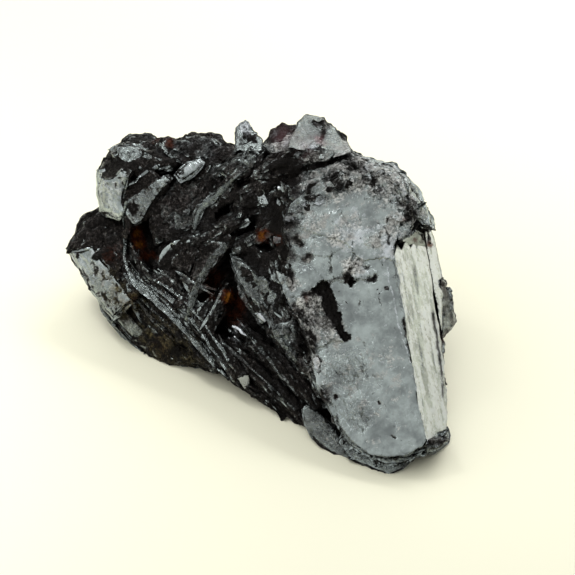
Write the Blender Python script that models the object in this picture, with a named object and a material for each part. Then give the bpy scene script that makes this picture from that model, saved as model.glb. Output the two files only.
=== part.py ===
"""A hand specimen of lamellar hematite, grown as one piece.

Sheets of hematite lie one on another like the leaves of a fanned book: a thick, smooth block
at the front right, thinner leaves stepping down to the left, and a crest of small crystals.
All the sheets lie near one plane that leans back from the upright, so every outline is drawn
on that plane, in millimetres: `across` to the right, `up` along the slope and `out` of it.
"""

import math
import random

import bmesh
import bpy
from mathutils import Matrix, Vector

# ---------------------------------------------------------------- driving dimensions (mm)
MM = 0.001
LEAN = math.radians(35.0)  # the sheets' common normal rises this far above the horizon
SHEET_HEIGHT = 6.55  # height of the drawing plane's origin above the table

LEAF_PITCH = (0.9, 1.7)  # thinnest and thickest layer of a mass
LEAF_SHIFT = 0.32  # how far one layer has grown past the next
LEAF_OVERLAP = 0.2  # depth that neighbouring layers share
CHIP_STEP = 1.1  # spacing of the chips along a plate's edge
CHIP_DEPTH = 0.13  # how deep they are
GROUND_CUT = 40.0  # size of the tool that cuts the foot flat

SEED = 12

# A plane is (out at the origin, rise of out per mm across, rise of out per mm up).
LEFT_PLANE = (4.1, 0.35, -0.25)  # the thin leaves on the left
BLOCK_PLANE = (7.5, 0.25, -0.29)  # the block's smooth front


# ---------------------------------------------------------------- places and directions
def sheet(across, up, out):
    """A place on or off the leaning drawing plane, as x, y, z in mm."""
    y = up * math.sin(LEAN) - out * math.cos(LEAN)
    z = up * math.cos(LEAN) + out * math.sin(LEAN) + SHEET_HEIGHT
    return Vector((across, y, z))


def stand(x, y, z):
    """A place given upright, as x, y, z in mm above the table."""
    return Vector((x, y, z))


def raised(plane, by):
    """The plane, moved out by so many mm."""
    return (plane[0] + by, plane[1], plane[2])


def out_of(plane, across, up):
    return plane[0] + plane[1] * across + plane[2] * up


def on(plane, across, up):
    return sheet(across, up, out_of(plane, across, up))


def lying_in(plane, thick):
    """Places a slab drawn about z = 0 so that its front lies in the plane."""
    start, right, rise = plane
    start -= thick / 2
    sine, cosine = math.sin(LEAN), math.cos(LEAN)
    return Matrix(
        (
            (1.0, 0.0, 0.0, 0.0),
            (-right * cosine, sine - rise * cosine, -cosine, -start * cosine),
            (right * sine, cosine + rise * sine, sine, start * sine + SHEET_HEIGHT),
            (0.0, 0.0, 0.0, 1.0),
        )
    )


def normal_of(plane):
    tip = sheet(-plane[1], -plane[2], 1.0) - sheet(0.0, 0.0, 0.0)
    return tip.normalized()


# ---------------------------------------------------------------- solids
class Growth:
    """The closed solids that have grown into each other, kept until they are joined."""

    def __init__(self, name):
        self.collection = bpy.data.collections.new(name)
        self.collection.hide_render = True
        bpy.context.scene.collection.children.link(self.collection)
        self.chance = random.Random(SEED)

    def keep(self, name, bm):
        bmesh.ops.recalc_face_normals(bm, faces=bm.faces)
        mesh = bpy.data.meshes.new(name)
        bm.to_mesh(mesh)
        bm.free()
        piece = bpy.data.objects.new(name, mesh)
        piece.hide_render = True
        piece.display_type = "WIRE"
        self.collection.objects.link(piece)

    def lump(self, name, points):
        """A convex crystal or lump through its corner points."""
        self.keep(name, hull(points))

    def layers(self, name, points, plane):
        """A mass cut into sheets parallel to a plane, each grown a little past the next."""
        axis = normal_of(plane)
        side = axis.orthogonal().normalized()
        other = axis.cross(side)
        depths = [p.dot(axis) for p in points]
        low, top = min(depths), max(depths)
        number = 0
        while low < top - LEAF_OVERLAP:
            high = low + self.chance.uniform(*LEAF_PITCH)
            if top - high < LEAF_PITCH[0]:
                high = top + LEAF_OVERLAP
            bm = hull(points)
            cut(bm, axis * (low - LEAF_OVERLAP), -axis)
            cut(bm, axis * high, axis)
            turn = self.chance.uniform(0.0, 2.0 * math.pi)
            slip = (side * math.cos(turn) + other * math.sin(turn)) * LEAF_SHIFT
            bmesh.ops.translate(bm, verts=bm.verts, vec=slip)
            self.keep(f"{name}_{number}", bm)
            low = high
            number += 1

    def plate(self, name, outline, plane, thick, flare=0.08, crown=0.0):
        """A crystal plate whose front has this outline and lies in this plane.

        Its back lies `thick` below, wider by the share `flare`, so that the rim is a bevel.
        A crowned plate's front rises to a point near its middle.
        """
        edge = self.chipped(outline)
        drawn = bpy.data.curves.new(name, "CURVE")
        drawn.dimensions = "2D"
        drawn.fill_mode = "BOTH"
        drawn.extrude = thick / 2
        rim = drawn.splines.new("POLY")
        rim.points.add(len(edge) - 1)
        rim.use_cyclic_u = True
        for point, place in zip(rim.points, edge):
            point.co = (*place, 0.0, 1.0)
        pattern = bpy.data.objects.new(name, drawn)
        bm = bmesh.new()
        bm.from_mesh(pattern.to_mesh())
        bpy.data.objects.remove(pattern)
        bmesh.ops.remove_doubles(bm, verts=bm.verts, dist=1e-4)
        bmesh.ops.dissolve_limit(
            bm, angle_limit=math.radians(1.0), verts=bm.verts, edges=bm.edges
        )

        middle = Vector((*(sum(c) / len(edge) for c in zip(*edge)), 0.0))
        for vertex in bm.verts:
            if vertex.co.z < 0.0:
                wide = middle + (vertex.co - middle) * (1.0 + flare)
                vertex.co.xy = wide.xy
        if crown:
            front = [f for f in bm.faces if all(v.co.z > 0.0 for v in f.verts)]
            for peak in bmesh.ops.poke(bm, faces=front)["verts"]:
                peak.co.z += crown
        bmesh.ops.transform(bm, matrix=lying_in(plane, thick), verts=bm.verts)
        self.keep(name, bm)

    def chipped(self, outline):
        """The outline with small chips along its edges."""
        points = []
        for start, end in zip(outline, outline[1:] + outline[:1]):
            run = Vector(end) - Vector(start)
            steps = max(1, round(run.length / CHIP_STEP))
            across = Vector((-run.y, run.x)).normalized()
            for step in range(steps):
                point = Vector(start) + run * (step / steps)
                if step:
                    point += across * self.chance.uniform(-CHIP_DEPTH, CHIP_DEPTH)
                points.append(tuple(point))
        return points

    def crystals(self, name, centre, spread, size, count):
        """A cluster of small blocky crystals, each the hull of a few points on a ball."""
        for number in range(count):
            place = centre + Vector([self.chance.gauss(0, 0.5) * s for s in spread])
            radius = size * self.chance.uniform(0.7, 1.2)
            points = []
            for _ in range(9):
                way = Vector([self.chance.gauss(0, 1) for _ in range(3)]).normalized()
                points.append(place + way * radius)
            self.lump(f"{name}_{number}", points)


def hull(points):
    bm = bmesh.new()
    for p in points:
        bm.verts.new(p)
    made = bmesh.ops.convex_hull(bm, input=bm.verts)
    spare = {v for v in made["geom_interior"] if isinstance(v, bmesh.types.BMVert)}
    bmesh.ops.delete(bm, geom=list(spare), context="VERTS")
    return bm


def cut(bm, place, away):
    """Cuts off what lies on the `away` side of a plane and closes the cut."""
    every = bm.verts[:] + bm.edges[:] + bm.faces[:]
    bmesh.ops.bisect_plane(
        bm, geom=every, plane_co=place, plane_no=away, clear_outer=True
    )
    bmesh.ops.holes_fill(bm, edges=bm.edges, sides=0)


# ---------------------------------------------------------------- the masses behind the plates
def masses(growth):
    growth.layers(
        "left_mass",
        [
            sheet(-16.4, 4.2, -6.0),
            sheet(-15.2, -0.8, -5.0),
            sheet(-12.0, -4.6, -3.2),
            sheet(-9.0, -7.2, -1.0),
            sheet(-5.4, -7.4, 0.3),
            sheet(-15.2, 7.0, -7.0),
            sheet(-15.2, 10.5, -7.0),
            sheet(-14.0, 13.0, -7.0),
            sheet(-11.5, 14.4, -7.5),
            sheet(-4.5, 13.8, -6.0),
            sheet(-12.0, 2.0, -3.2),
            sheet(-9.0, -3.0, -1.0),
            sheet(-6.0, 9.0, -3.0),
            sheet(-5.0, 0.0, -0.5),
            stand(-15.0, 10.0, 5.0),
            stand(-11.0, 15.0, 7.0),
            stand(-3.0, 15.5, 10.0),
            stand(-3.0, 14.0, 2.0),
            stand(-10.0, 9.0, 0.0),
            stand(-9.0, 0.0, 0.0),
            stand(-2.0, 10.0, 0.0),
            stand(-3.0, -4.0, 0.0),
        ],
        LEFT_PLANE,
    )
    growth.layers(
        "valley_floor",
        [
            sheet(-5.0, -7.5, 0.5),
            sheet(-1.5, -9.6, 2.6),
            sheet(3.0, -12.2, 6.0),
            sheet(6.0, -15.0, 9.6),
            sheet(-5.0, 0.0, 0.2),
            sheet(0.0, -4.0, 2.6),
            sheet(4.0, -8.0, 6.6),
            sheet(-3.0, 9.0, -1.5),
            sheet(3.0, 8.0, 2.2),
            sheet(5.0, 2.0, 3.6),
            sheet(0.0, 13.5, -2.0),
            sheet(6.0, 15.0, -2.0),
            stand(-3.0, 15.0, 10.0),
            stand(6.0, 14.5, 12.0),
            stand(8.0, 12.0, 4.0),
            stand(0.0, 13.0, 2.0),
            stand(-3.0, 9.0, 0.0),
            stand(10.0, 8.0, 0.0),
            stand(10.0, -16.0, 0.0),
            stand(-3.0, -5.0, 0.0),
            stand(8.0, 5.0, 15.0),
        ],
        LEFT_PLANE,
    )
    growth.layers(
        "block_slope",
        [
            sheet(0.2, -2.8, 3.6),
            sheet(-1.8, 2.6, 3.0),
            sheet(1.0, -1.0, 5.0),
            sheet(2.6, -1.2, 7.4),
            sheet(2.6, 2.0, 7.2),
            sheet(2.4, 7.0, 5.2),
            sheet(-0.4, 6.6, 3.0),
            sheet(4.0, 9.4, 5.0),
            sheet(1.0, 10.6, 2.4),
            sheet(5.2, -7.6, 9.6),
            sheet(2.4, -6.8, 6.8),
            sheet(6.0, 0.0, 4.0),
            sheet(7.0, 9.0, 1.0),
            sheet(7.0, -9.0, 6.0),
            sheet(1.0, 4.0, -1.0),
        ],
        LEFT_PLANE,
    )
    front = raised(BLOCK_PLANE, -0.4)
    growth.layers(
        "block",
        [
            on(front, 3.5, 9.0),
            on(front, 9.5, 10.3),
            on(front, 12.6, 6.5),
            on(front, 12.4, 3.5),
            on(front, 16.4, -15.0),
            on(front, 14.0, -16.2),
            on(front, 11.0, -16.0),
            on(front, 8.0, -12.5),
            on(front, 5.7, -8.0),
            on(front, 3.0, -1.0),
            sheet(10.0, 13.0, 1.0),
            sheet(13.0, 12.0, 1.0),
            sheet(15.5, 9.3, 1.0),
            sheet(17.2, 6.0, 1.0),
            sheet(18.2, -3.0, 1.5),
            sheet(18.2, -9.0, 7.0),
            sheet(18.3, -13.6, 10.5),
            stand(18.4, -1.0, 5.0),
            stand(17.5, 3.0, 2.0),
            stand(16.5, 5.0, 10.0),
            stand(14.0, 8.0, 12.0),
            stand(9.0, 11.0, 14.0),
            stand(13.0, 8.0, 0.0),
            stand(17.0, -5.0, 0.0),
            stand(16.5, -18.0, 0.0),
            stand(12.0, -22.0, 0.0),
            stand(5.0, 8.0, 0.0),
            stand(5.0, -10.0, 0.0),
        ],
        BLOCK_PLANE,
    )


# ---------------------------------------------------------------- the plates, region by region
def left_leaf(growth):
    """The thick leaf that juts out furthest to the left, with its bright bevel below."""
    growth.plate(
        "leaf_face",
        [
            (-19.1, 4.0),
            (-18.6, 5.0),
            (-18.0, 5.8),
            (-17.7, 6.7),
            (-16.8, 7.1),
            (-15.9, 7.8),
            (-14.0, 7.2),
            (-12.5, 5.5),
            (-12.0, 2.8),
            (-11.8, 0.0),
            (-12.6, -1.0),
            (-13.6, -0.3),
            (-15.5, 2.2),
            (-16.8, 4.1),
            (-17.8, 4.1),
        ],
        (3.2, 0.3, -0.5),
        3.0,
    )
    growth.plate(
        "leaf_bevel",
        [
            (-19.1, 3.9),
            (-16.8, 4.2),
            (-15.5, 2.3),
            (-13.6, -0.2),
            (-13.0, -1.0),
            (-14.2, -2.1),
            (-14.8, -2.6),
            (-16.0, -1.1),
            (-17.2, 0.6),
            (-18.2, 2.2),
        ],
        (11.6, 0.9, -0.07),
        3.0,
    )


def foot(growth):
    growth.plate(
        "foot",
        [
            (-13.0, -1.0),
            (-10.0, -2.5),
            (-8.0, -3.8),
            (-6.0, -5.0),
            (-4.8, -6.5),
            (-5.2, -7.8),
            (-6.5, -7.4),
            (-9.0, -7.6),
            (-10.3, -7.1),
            (-11.5, -6.2),
            (-13.0, -4.6),
            (-14.8, -2.6),
            (-13.8, -1.8),
        ],
        (6.7, 0.625, 0.21),
        3.0,
        crown=0.18,
    )


def fan(growth):
    """The leaves that spread out on the left and close up towards the foot."""
    growth.plate(
        "fan_outer",
        [
            (-13.4, 3.8),
            (-13.5, 2.8),
            (-13.0, 1.5),
            (-12.0, 0.0),
            (-10.5, -2.2),
            (-9.0, -3.9),
            (-7.5, -5.4),
            (-6.0, -6.9),
            (-5.0, -7.8),
            (-4.0, -7.9),
            (-4.5, -6.5),
            (-6.0, -4.8),
            (-8.0, -2.8),
            (-10.0, -0.8),
            (-11.6, 0.9),
            (-12.6, 2.4),
        ],
        raised(LEFT_PLANE, -0.6),
        3.0,
    )
    growth.plate(
        "fan_middle",
        [
            (-12.9, 4.6),
            (-12.7, 3.0),
            (-12.0, 1.6),
            (-10.8, 0.2),
            (-9.2, -1.6),
            (-7.6, -3.2),
            (-6.0, -4.6),
            (-4.8, -6.0),
            (-3.6, -7.6),
            (-2.8, -9.0),
            (-2.2, -9.4),
            (-2.0, -8.6),
            (-2.8, -7.2),
            (-4.0, -5.4),
            (-5.4, -4.0),
            (-6.8, -2.4),
            (-8.2, -0.8),
            (-9.8, 0.8),
            (-11.2, 2.0),
            (-12.2, 3.4),
        ],
        LEFT_PLANE,
        3.0,
    )
    growth.plate(
        "fan_inner",
        [
            (-11.0, 1.2),
            (-10.0, 0.6),
            (-8.8, 0.0),
            (-7.6, -1.4),
            (-6.6, -2.8),
            (-5.6, -3.8),
            (-4.6, -4.4),
            (-4.8, -3.4),
            (-5.4, -2.4),
            (-6.8, -0.8),
            (-7.2, 0.6),
            (-8.6, 1.6),
            (-9.8, 2.0),
        ],
        raised(LEFT_PLANE, 0.5),
        3.0,
    )


def left_shoulder(growth):
    """The upper left corner: a bright block, a black step and a brown slab."""
    growth.plate(
        "shoulder_face",
        [
            (-15.9, 10.0),
            (-15.7, 11.0),
            (-14.8, 11.2),
            (-14.0, 12.0),
            (-13.2, 11.5),
            (-13.6, 10.2),
            (-13.8, 9.0),
            (-13.6, 7.8),
            (-14.2, 7.3),
            (-15.0, 7.8),
            (-15.9, 8.2),
        ],
        (7.55, 0.8, 0.1),
        3.0,
    )
    growth.plate(
        "shoulder_rim",
        [
            (-16.4, 12.0),
            (-15.6, 12.3),
            (-15.0, 11.0),
            (-15.4, 9.5),
            (-15.7, 8.2),
            (-16.1, 8.6),
            (-16.2, 10.0),
        ],
        (8.4, 0.85, 0.0),
        2.5,
    )
    growth.plate(
        "black_step",
        [
            (-13.8, 10.3),
            (-12.7, 11.0),
            (-11.2, 11.9),
            (-10.2, 11.6),
            (-10.8, 10.2),
            (-12.0, 9.4),
            (-13.1, 8.8),
            (-13.7, 9.2),
        ],
        raised(LEFT_PLANE, 0.5),
        3.5,
    )
    growth.plate(
        "brown_slab",
        [
            (-14.8, 13.5),
            (-13.8, 14.3),
            (-12.0, 14.2),
            (-10.5, 13.8),
            (-9.2, 13.2),
            (-8.0, 12.8),
            (-9.5, 12.4),
            (-11.0, 12.1),
            (-12.0, 11.5),
            (-13.0, 11.8),
            (-14.2, 12.5),
        ],
        (6.9, 0.2, -0.6),
        2.5,
        crown=0.18,
    )
    growth.plate(
        "back_ledge_left",
        [
            (-15.5, 13.2),
            (-14.8, 14.2),
            (-13.0, 15.2),
            (-12.0, 15.4),
            (-10.5, 15.0),
            (-9.8, 14.0),
            (-12.0, 13.4),
            (-14.0, 13.0),
        ],
        (9.4, 0.2, -0.95),
        2.5,
    )
    growth.plate(
        "back_ledge_right",
        [
            (-10.2, 15.0),
            (-9.5, 15.2),
            (-8.0, 14.9),
            (-6.5, 15.5),
            (-4.8, 15.2),
            (-3.8, 14.3),
            (-2.0, 14.2),
            (-2.4, 13.0),
            (-4.5, 12.6),
            (-6.0, 12.3),
            (-7.5, 12.5),
            (-9.0, 13.4),
            (-10.2, 14.0),
        ],
        (8.9, 0.2, -0.8),
        3.0,
        crown=0.15,
    )


def left_terraces(growth):
    """The broad dark leaves that step up from the fan to the middle."""
    growth.plate(
        "grey_band",
        [
            (-9.5, 11.0),
            (-9.2, 10.6),
            (-10.0, 9.5),
            (-10.8, 8.3),
            (-11.2, 7.6),
            (-12.0, 7.0),
            (-12.7, 6.2),
            (-13.3, 5.3),
            (-13.7, 4.6),
            (-13.8, 6.2),
            (-13.4, 7.5),
            (-12.9, 8.3),
            (-12.0, 9.3),
            (-11.0, 10.2),
            (-10.2, 10.8),
        ],
        raised(LEFT_PLANE, 0.4),
        3.5,
    )
    growth.plate(
        "dark_leaf",
        [
            (-9.2, 11.0),
            (-7.5, 11.5),
            (-6.0, 12.4),
            (-4.5, 12.7),
            (-2.5, 13.2),
            (-1.0, 13.5),
            (-2.0, 12.5),
            (-3.2, 11.0),
            (-4.5, 9.5),
            (-5.7, 8.5),
            (-6.1, 7.5),
            (-6.3, 6.1),
            (-7.5, 5.7),
            (-9.0, 5.0),
            (-10.2, 5.0),
            (-10.7, 6.5),
            (-10.8, 8.0),
            (-10.0, 9.4),
        ],
        (3.8, 0.2, -0.4),
        3.0,
        crown=0.2,
    )
    growth.plate(
        "glint_leaf",
        [
            (-8.3, 11.2),
            (-8.0, 12.0),
            (-7.0, 12.7),
            (-6.0, 12.7),
            (-6.3, 12.0),
            (-7.2, 11.4),
        ],
        raised(LEFT_PLANE, 0.4),
        2.0,
    )
    growth.plate(
        "lower_leaf",
        [
            (-10.2, 2.8),
            (-9.5, 3.8),
            (-8.8, 4.5),
            (-7.8, 5.2),
            (-6.5, 5.0),
            (-5.7, 4.5),
            (-6.0, 3.4),
            (-6.7, 2.2),
            (-7.1, 1.0),
            (-7.3, -0.7),
            (-8.0, -0.2),
            (-9.0, 0.7),
            (-10.0, 1.5),
        ],
        raised(LEFT_PLANE, 0.4),
        3.0,
        crown=0.2,
    )
    growth.plate(
        "twin_leaf",
        [
            (-7.0, 1.5),
            (-6.0, 3.5),
            (-4.8, 4.7),
            (-3.2, 5.9),
            (-2.8, 5.2),
            (-3.5, 3.8),
            (-4.2, 2.8),
            (-5.2, 2.0),
            (-6.0, 0.5),
            (-6.2, -1.3),
            (-7.0, -1.0),
            (-7.3, 0.0),
        ],
        raised(LEFT_PLANE, 0.9),
        3.0,
    )
    growth.plate(
        "blade_leaf",
        [
            (-6.4, -1.8),
            (-5.3, -1.5),
            (-4.4, -0.7),
            (-3.5, 0.1),
            (-3.2, -0.5),
            (-3.8, -1.8),
            (-4.5, -3.5),
            (-5.0, -4.0),
            (-6.0, -4.0),
            (-6.6, -3.0),
        ],
        raised(LEFT_PLANE, 1.0),
        3.0,
    )


def middle_terraces(growth):
    """The smaller leaves between the dark leaf and the block."""
    growth.plate(
        "serrated_leaf",
        [
            (-6.2, 6.1),
            (-6.1, 7.5),
            (-5.7, 8.4),
            (-4.5, 9.2),
            (-3.8, 10.0),
            (-3.0, 10.8),
            (-2.3, 11.0),
            (-2.0, 10.0),
            (-2.4, 9.0),
            (-3.5, 8.5),
            (-4.5, 7.5),
            (-5.5, 6.2),
        ],
        raised(LEFT_PLANE, 0.3),
        3.0,
    )
    growth.plate(
        "glitter_ledge",
        [
            (-8.0, 5.2),
            (-6.5, 5.5),
            (-5.0, 6.2),
            (-3.5, 7.2),
            (-2.0, 7.8),
            (-1.0, 8.2),
            (-1.5, 6.8),
            (-2.8, 5.8),
            (-4.5, 5.0),
            (-6.2, 4.4),
            (-7.2, 4.3),
        ],
        raised(LEFT_PLANE, 0.9),
        3.0,
    )
    growth.plate(
        "black_leaf",
        [
            (-2.2, 9.2),
            (-1.5, 10.2),
            (-0.8, 10.8),
            (0.2, 11.0),
            (1.5, 11.2),
            (2.5, 11.8),
            (2.3, 10.5),
            (1.2, 9.5),
            (0.8, 8.2),
            (0.2, 7.5),
            (-1.0, 7.2),
            (-2.0, 7.5),
            (-2.4, 8.3),
        ],
        raised(LEFT_PLANE, 0.7),
        3.0,
    )
    growth.plate(
        "upper_leaf",
        [
            (-3.8, 12.0),
            (-2.5, 13.0),
            (-1.2, 13.8),
            (-0.4, 13.2),
            (-0.8, 12.2),
            (-2.0, 11.2),
            (-2.8, 11.0),
        ],
        raised(LEFT_PLANE, 0.6),
        3.0,
        crown=0.18,
    )
    growth.plate(
        "long_leaf",
        [
            (-0.8, 11.2),
            (0.2, 12.5),
            (2.0, 13.5),
            (4.0, 14.0),
            (6.2, 14.0),
            (7.0, 13.3),
            (6.2, 12.7),
            (4.5, 12.2),
            (3.0, 11.8),
            (1.8, 11.2),
            (0.2, 11.0),
        ],
        raised(LEFT_PLANE, 1.1),
        3.5,
    )


def block_front(growth):
    """The smooth sheets on the block's front, and the lips below them."""
    growth.plate(
        "front_upper",
        [
            (2.5, 7.5),
            (3.5, 9.0),
            (5.5, 9.7),
            (8.5, 9.8),
            (9.5, 10.3),
            (11.8, 9.0),
            (13.2, 8.2),
            (13.8, 6.0),
            (13.8, 3.5),
            (12.5, 2.8),
            (11.2, 2.8),
            (9.2, 2.8),
            (8.5, 1.0),
            (6.2, 0.7),
            (4.5, 0.5),
            (3.2, -0.7),
            (2.0, -1.0),
            (2.3, 0.5),
            (2.9, 2.8),
            (2.7, 5.0),
        ],
        raised(BLOCK_PLANE, -0.1),
        2.5,
    )
    growth.plate(
        "front_window",
        [
            (7.5, -0.5),
            (8.6, 0.6),
            (11.2, 0.9),
            (11.8, 2.2),
            (13.6, 3.2),
            (13.1, 0.0),
            (13.6, -4.5),
            (12.8, -5.0),
            (10.0, -4.9),
            (9.0, -4.7),
            (8.3, -3.0),
            (7.8, -1.8),
        ],
        raised(BLOCK_PLANE, 0.3),
        2.5,
    )
    growth.plate(
        "front_lower",
        [
            (7.7, -5.5),
            (9.0, -5.1),
            (12.8, -5.1),
            (13.8, -5.5),
            (14.5, -8.0),
            (15.5, -11.0),
            (16.5, -13.8),
            (16.8, -15.1),
            (15.5, -15.6),
            (14.0, -16.3),
            (12.5, -16.6),
            (11.0, -16.1),
            (9.7, -15.2),
            (8.7, -13.8),
            (7.7, -12.0),
            (6.7, -10.3),
            (5.8, -8.8),
            (5.6, -7.5),
            (6.0, -6.0),
            (6.8, -5.2),
        ],
        BLOCK_PLANE,
        2.5,
    )
    growth.plate(
        "lip_upper",
        [
            (8.2, -14.0),
            (9.2, -15.4),
            (10.6, -16.4),
            (12.5, -17.0),
            (14.0, -16.8),
            (15.5, -16.1),
            (17.3, -15.6),
            (18.7, -14.8),
            (18.5, -14.0),
            (17.5, -13.5),
            (14.0, -13.0),
            (10.0, -12.0),
        ],
        raised(BLOCK_PLANE, -0.7),
        2.5,
        flare=0.0,
    )
    growth.plate(
        "lip_lower",
        [
            (8.0, -15.0),
            (8.6, -16.6),
            (11.0, -17.7),
            (12.7, -18.3),
            (14.0, -17.7),
            (15.0, -16.9),
            (16.0, -15.0),
            (12.0, -13.0),
            (9.0, -13.0),
        ],
        raised(BLOCK_PLANE, -1.4),
        3.0,
        flare=0.0,
    )
    growth.plate(
        "stepped_sheet",
        [
            (5.0, -12.5),
            (6.0, -12.1),
            (7.0, -13.0),
            (8.2, -14.5),
            (9.2, -15.7),
            (9.6, -16.5),
            (8.5, -16.7),
            (6.5, -16.0),
            (5.3, -14.8),
            (4.9, -13.5),
        ],
        raised(BLOCK_PLANE, -2.2),
        3.0,
        flare=0.0,
    )


def block_flank(growth):
    """The broken zone to the left of the smooth sheets, down to the table."""
    growth.plate(
        "flank_rough",
        [
            (0.5, -2.2),
            (1.2, -1.0),
            (3.0, -0.7),
            (4.5, 0.2),
            (6.2, 0.2),
            (7.0, -1.0),
            (8.5, -4.0),
            (7.5, -5.2),
            (6.2, -5.5),
            (5.6, -7.2),
            (5.4, -8.8),
            (4.5, -8.2),
            (3.5, -7.0),
            (2.0, -5.5),
            (1.0, -4.0),
        ],
        raised(BLOCK_PLANE, -1.6),
        3.0,
        crown=0.18,
    )
    growth.plate(
        "streak_upper",
        [
            (-1.5, -5.5),
            (0.2, -5.0),
            (2.0, -6.2),
            (4.0, -8.2),
            (5.5, -10.2),
            (6.5, -11.5),
            (5.5, -12.0),
            (4.0, -10.5),
            (2.5, -9.0),
            (0.5, -7.2),
        ],
        raised(BLOCK_PLANE, -2.6),
        3.0,
    )
    growth.plate(
        "streak_lower",
        [
            (-3.5, -5.0),
            (-2.0, -5.5),
            (0.2, -7.5),
            (2.5, -9.5),
            (4.5, -11.5),
            (5.5, -13.0),
            (4.5, -13.5),
            (3.0, -12.0),
            (0.5, -10.0),
            (-2.0, -7.5),
        ],
        raised(BLOCK_PLANE, -3.6),
        3.0,
    )
    growth.plate(
        "foot_strip",
        [
            (-2.8, -9.0),
            (-1.5, -8.8),
            (0.0, -9.8),
            (2.5, -11.3),
            (4.5, -13.3),
            (5.8, -15.0),
            (6.5, -16.0),
            (4.5, -14.2),
            (3.0, -12.7),
            (1.0, -11.5),
            (-1.0, -10.0),
            (-2.0, -9.5),
        ],
        raised(BLOCK_PLANE, -4.6),
        3.0,
        flare=0.0,
    )


def valley(growth):
    """Blades standing in the deep valley between the leaves and the block."""
    growth.plate(
        "slope_patch",
        [
            (-2.2, 2.8),
            (-1.0, 2.2),
            (0.2, 1.5),
            (1.5, 0.0),
            (2.2, -1.5),
            (1.0, -2.8),
            (0.2, -3.2),
            (-0.5, -2.0),
            (-1.4, -0.5),
            (-2.0, 1.0),
        ],
        (5.6, 0.5, -0.12),
        2.5,
        crown=0.2,
    )
    growth.plate(
        "ledge_blade",
        [
            (-5.8, -1.7),
            (-4.2, -0.8),
            (-3.2, 0.4),
            (-3.6, -0.6),
            (-4.6, -2.0),
            (-5.0, -3.4),
            (-4.0, -5.0),
            (-2.6, -6.4),
            (-1.2, -8.4),
            (-2.0, -8.8),
            (-3.4, -7.2),
            (-5.0, -5.4),
            (-6.2, -3.6),
        ],
        raised(LEFT_PLANE, 0.6),
        2.5,
    )
    growth.plate(
        "valley_blade_upper",
        [
            (-3.6, -4.8),
            (-2.6, -4.6),
            (-0.6, -6.2),
            (0.8, -7.8),
            (0.2, -8.4),
            (-1.6, -6.8),
            (-3.2, -5.6),
        ],
        raised(LEFT_PLANE, -0.4),
        2.0,
    )
    growth.plate(
        "valley_blade_lower",
        [
            (-2.8, -3.2),
            (-1.4, -3.4),
            (0.6, -5.2),
            (2.0, -6.8),
            (1.4, -7.4),
            (-0.4, -5.8),
            (-2.4, -4.2),
        ],
        raised(LEFT_PLANE, 0.4),
        2.5,
    )
    growth.plate(
        "ledge_above_valley",
        [
            (-3.0, 4.6),
            (-1.2, 5.6),
            (0.4, 6.4),
            (1.8, 7.2),
            (2.6, 6.6),
            (1.4, 5.4),
            (-0.2, 4.6),
            (-1.8, 3.8),
            (-2.8, 3.4),
        ],
        (4.6, 0.5, -0.2),
        2.0,
    )


def block_top(growth):
    """The rough top of the block, falling away to the back and to the right."""
    growth.plate(
        "top_back",
        [
            (8.5, 14.0),
            (10.5, 13.0),
            (13.0, 12.3),
            (14.3, 11.3),
            (14.0, 10.0),
            (11.5, 10.0),
            (9.5, 10.5),
            (8.5, 11.5),
            (7.5, 12.5),
        ],
        (15.2, 0.1, -1.1),
        3.0,
        crown=0.18,
    )
    growth.plate(
        "top_right",
        [
            (11.5, 10.0),
            (14.0, 10.0),
            (14.3, 11.3),
            (15.7, 9.5),
            (17.0, 7.2),
            (17.2, 6.2),
            (16.0, 6.5),
            (14.5, 7.5),
            (13.0, 8.5),
            (11.8, 9.0),
        ],
        (19.95, -0.75, -0.6),
        3.0,
        crown=0.18,
    )
    growth.plate(
        "top_left",
        [
            (2.2, 9.4),
            (2.6, 10.6),
            (3.6, 11.6),
            (5.0, 12.2),
            (6.6, 12.6),
            (8.2, 12.4),
            (9.2, 11.2),
            (9.0, 10.0),
            (7.0, 9.6),
            (5.2, 9.2),
            (3.6, 8.4),
        ],
        (10.7, 0.3, -0.71),
        3.0,
        crown=0.18,
    )
    growth.crystals("grain_left", sheet(5.4, 12.0, 3.0), (1.7, 1.0, 0.9), 0.95, 7)
    growth.crystals("grain_middle", sheet(8.6, 11.7, 3.4), (1.5, 1.0, 0.8), 0.95, 6)
    growth.crystals("grain_right", sheet(12.6, 10.2, 2.6), (1.4, 0.8, 0.6), 0.85, 5)
    growth.lump(
        "right_bump",
        [
            sheet(17.6, -0.5, 1.5),
            sheet(19.4, 0.6, 0.0),
            sheet(19.8, -1.8, 0.5),
            sheet(19.3, -3.6, 0.5),
            sheet(18.2, -4.7, 1.0),
            sheet(17.5, -3.0, 2.5),
            sheet(18.0, 2.0, -2.0),
            stand(16.0, 2.0, 2.0),
            stand(15.5, -3.0, 3.0),
        ],
    )


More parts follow.
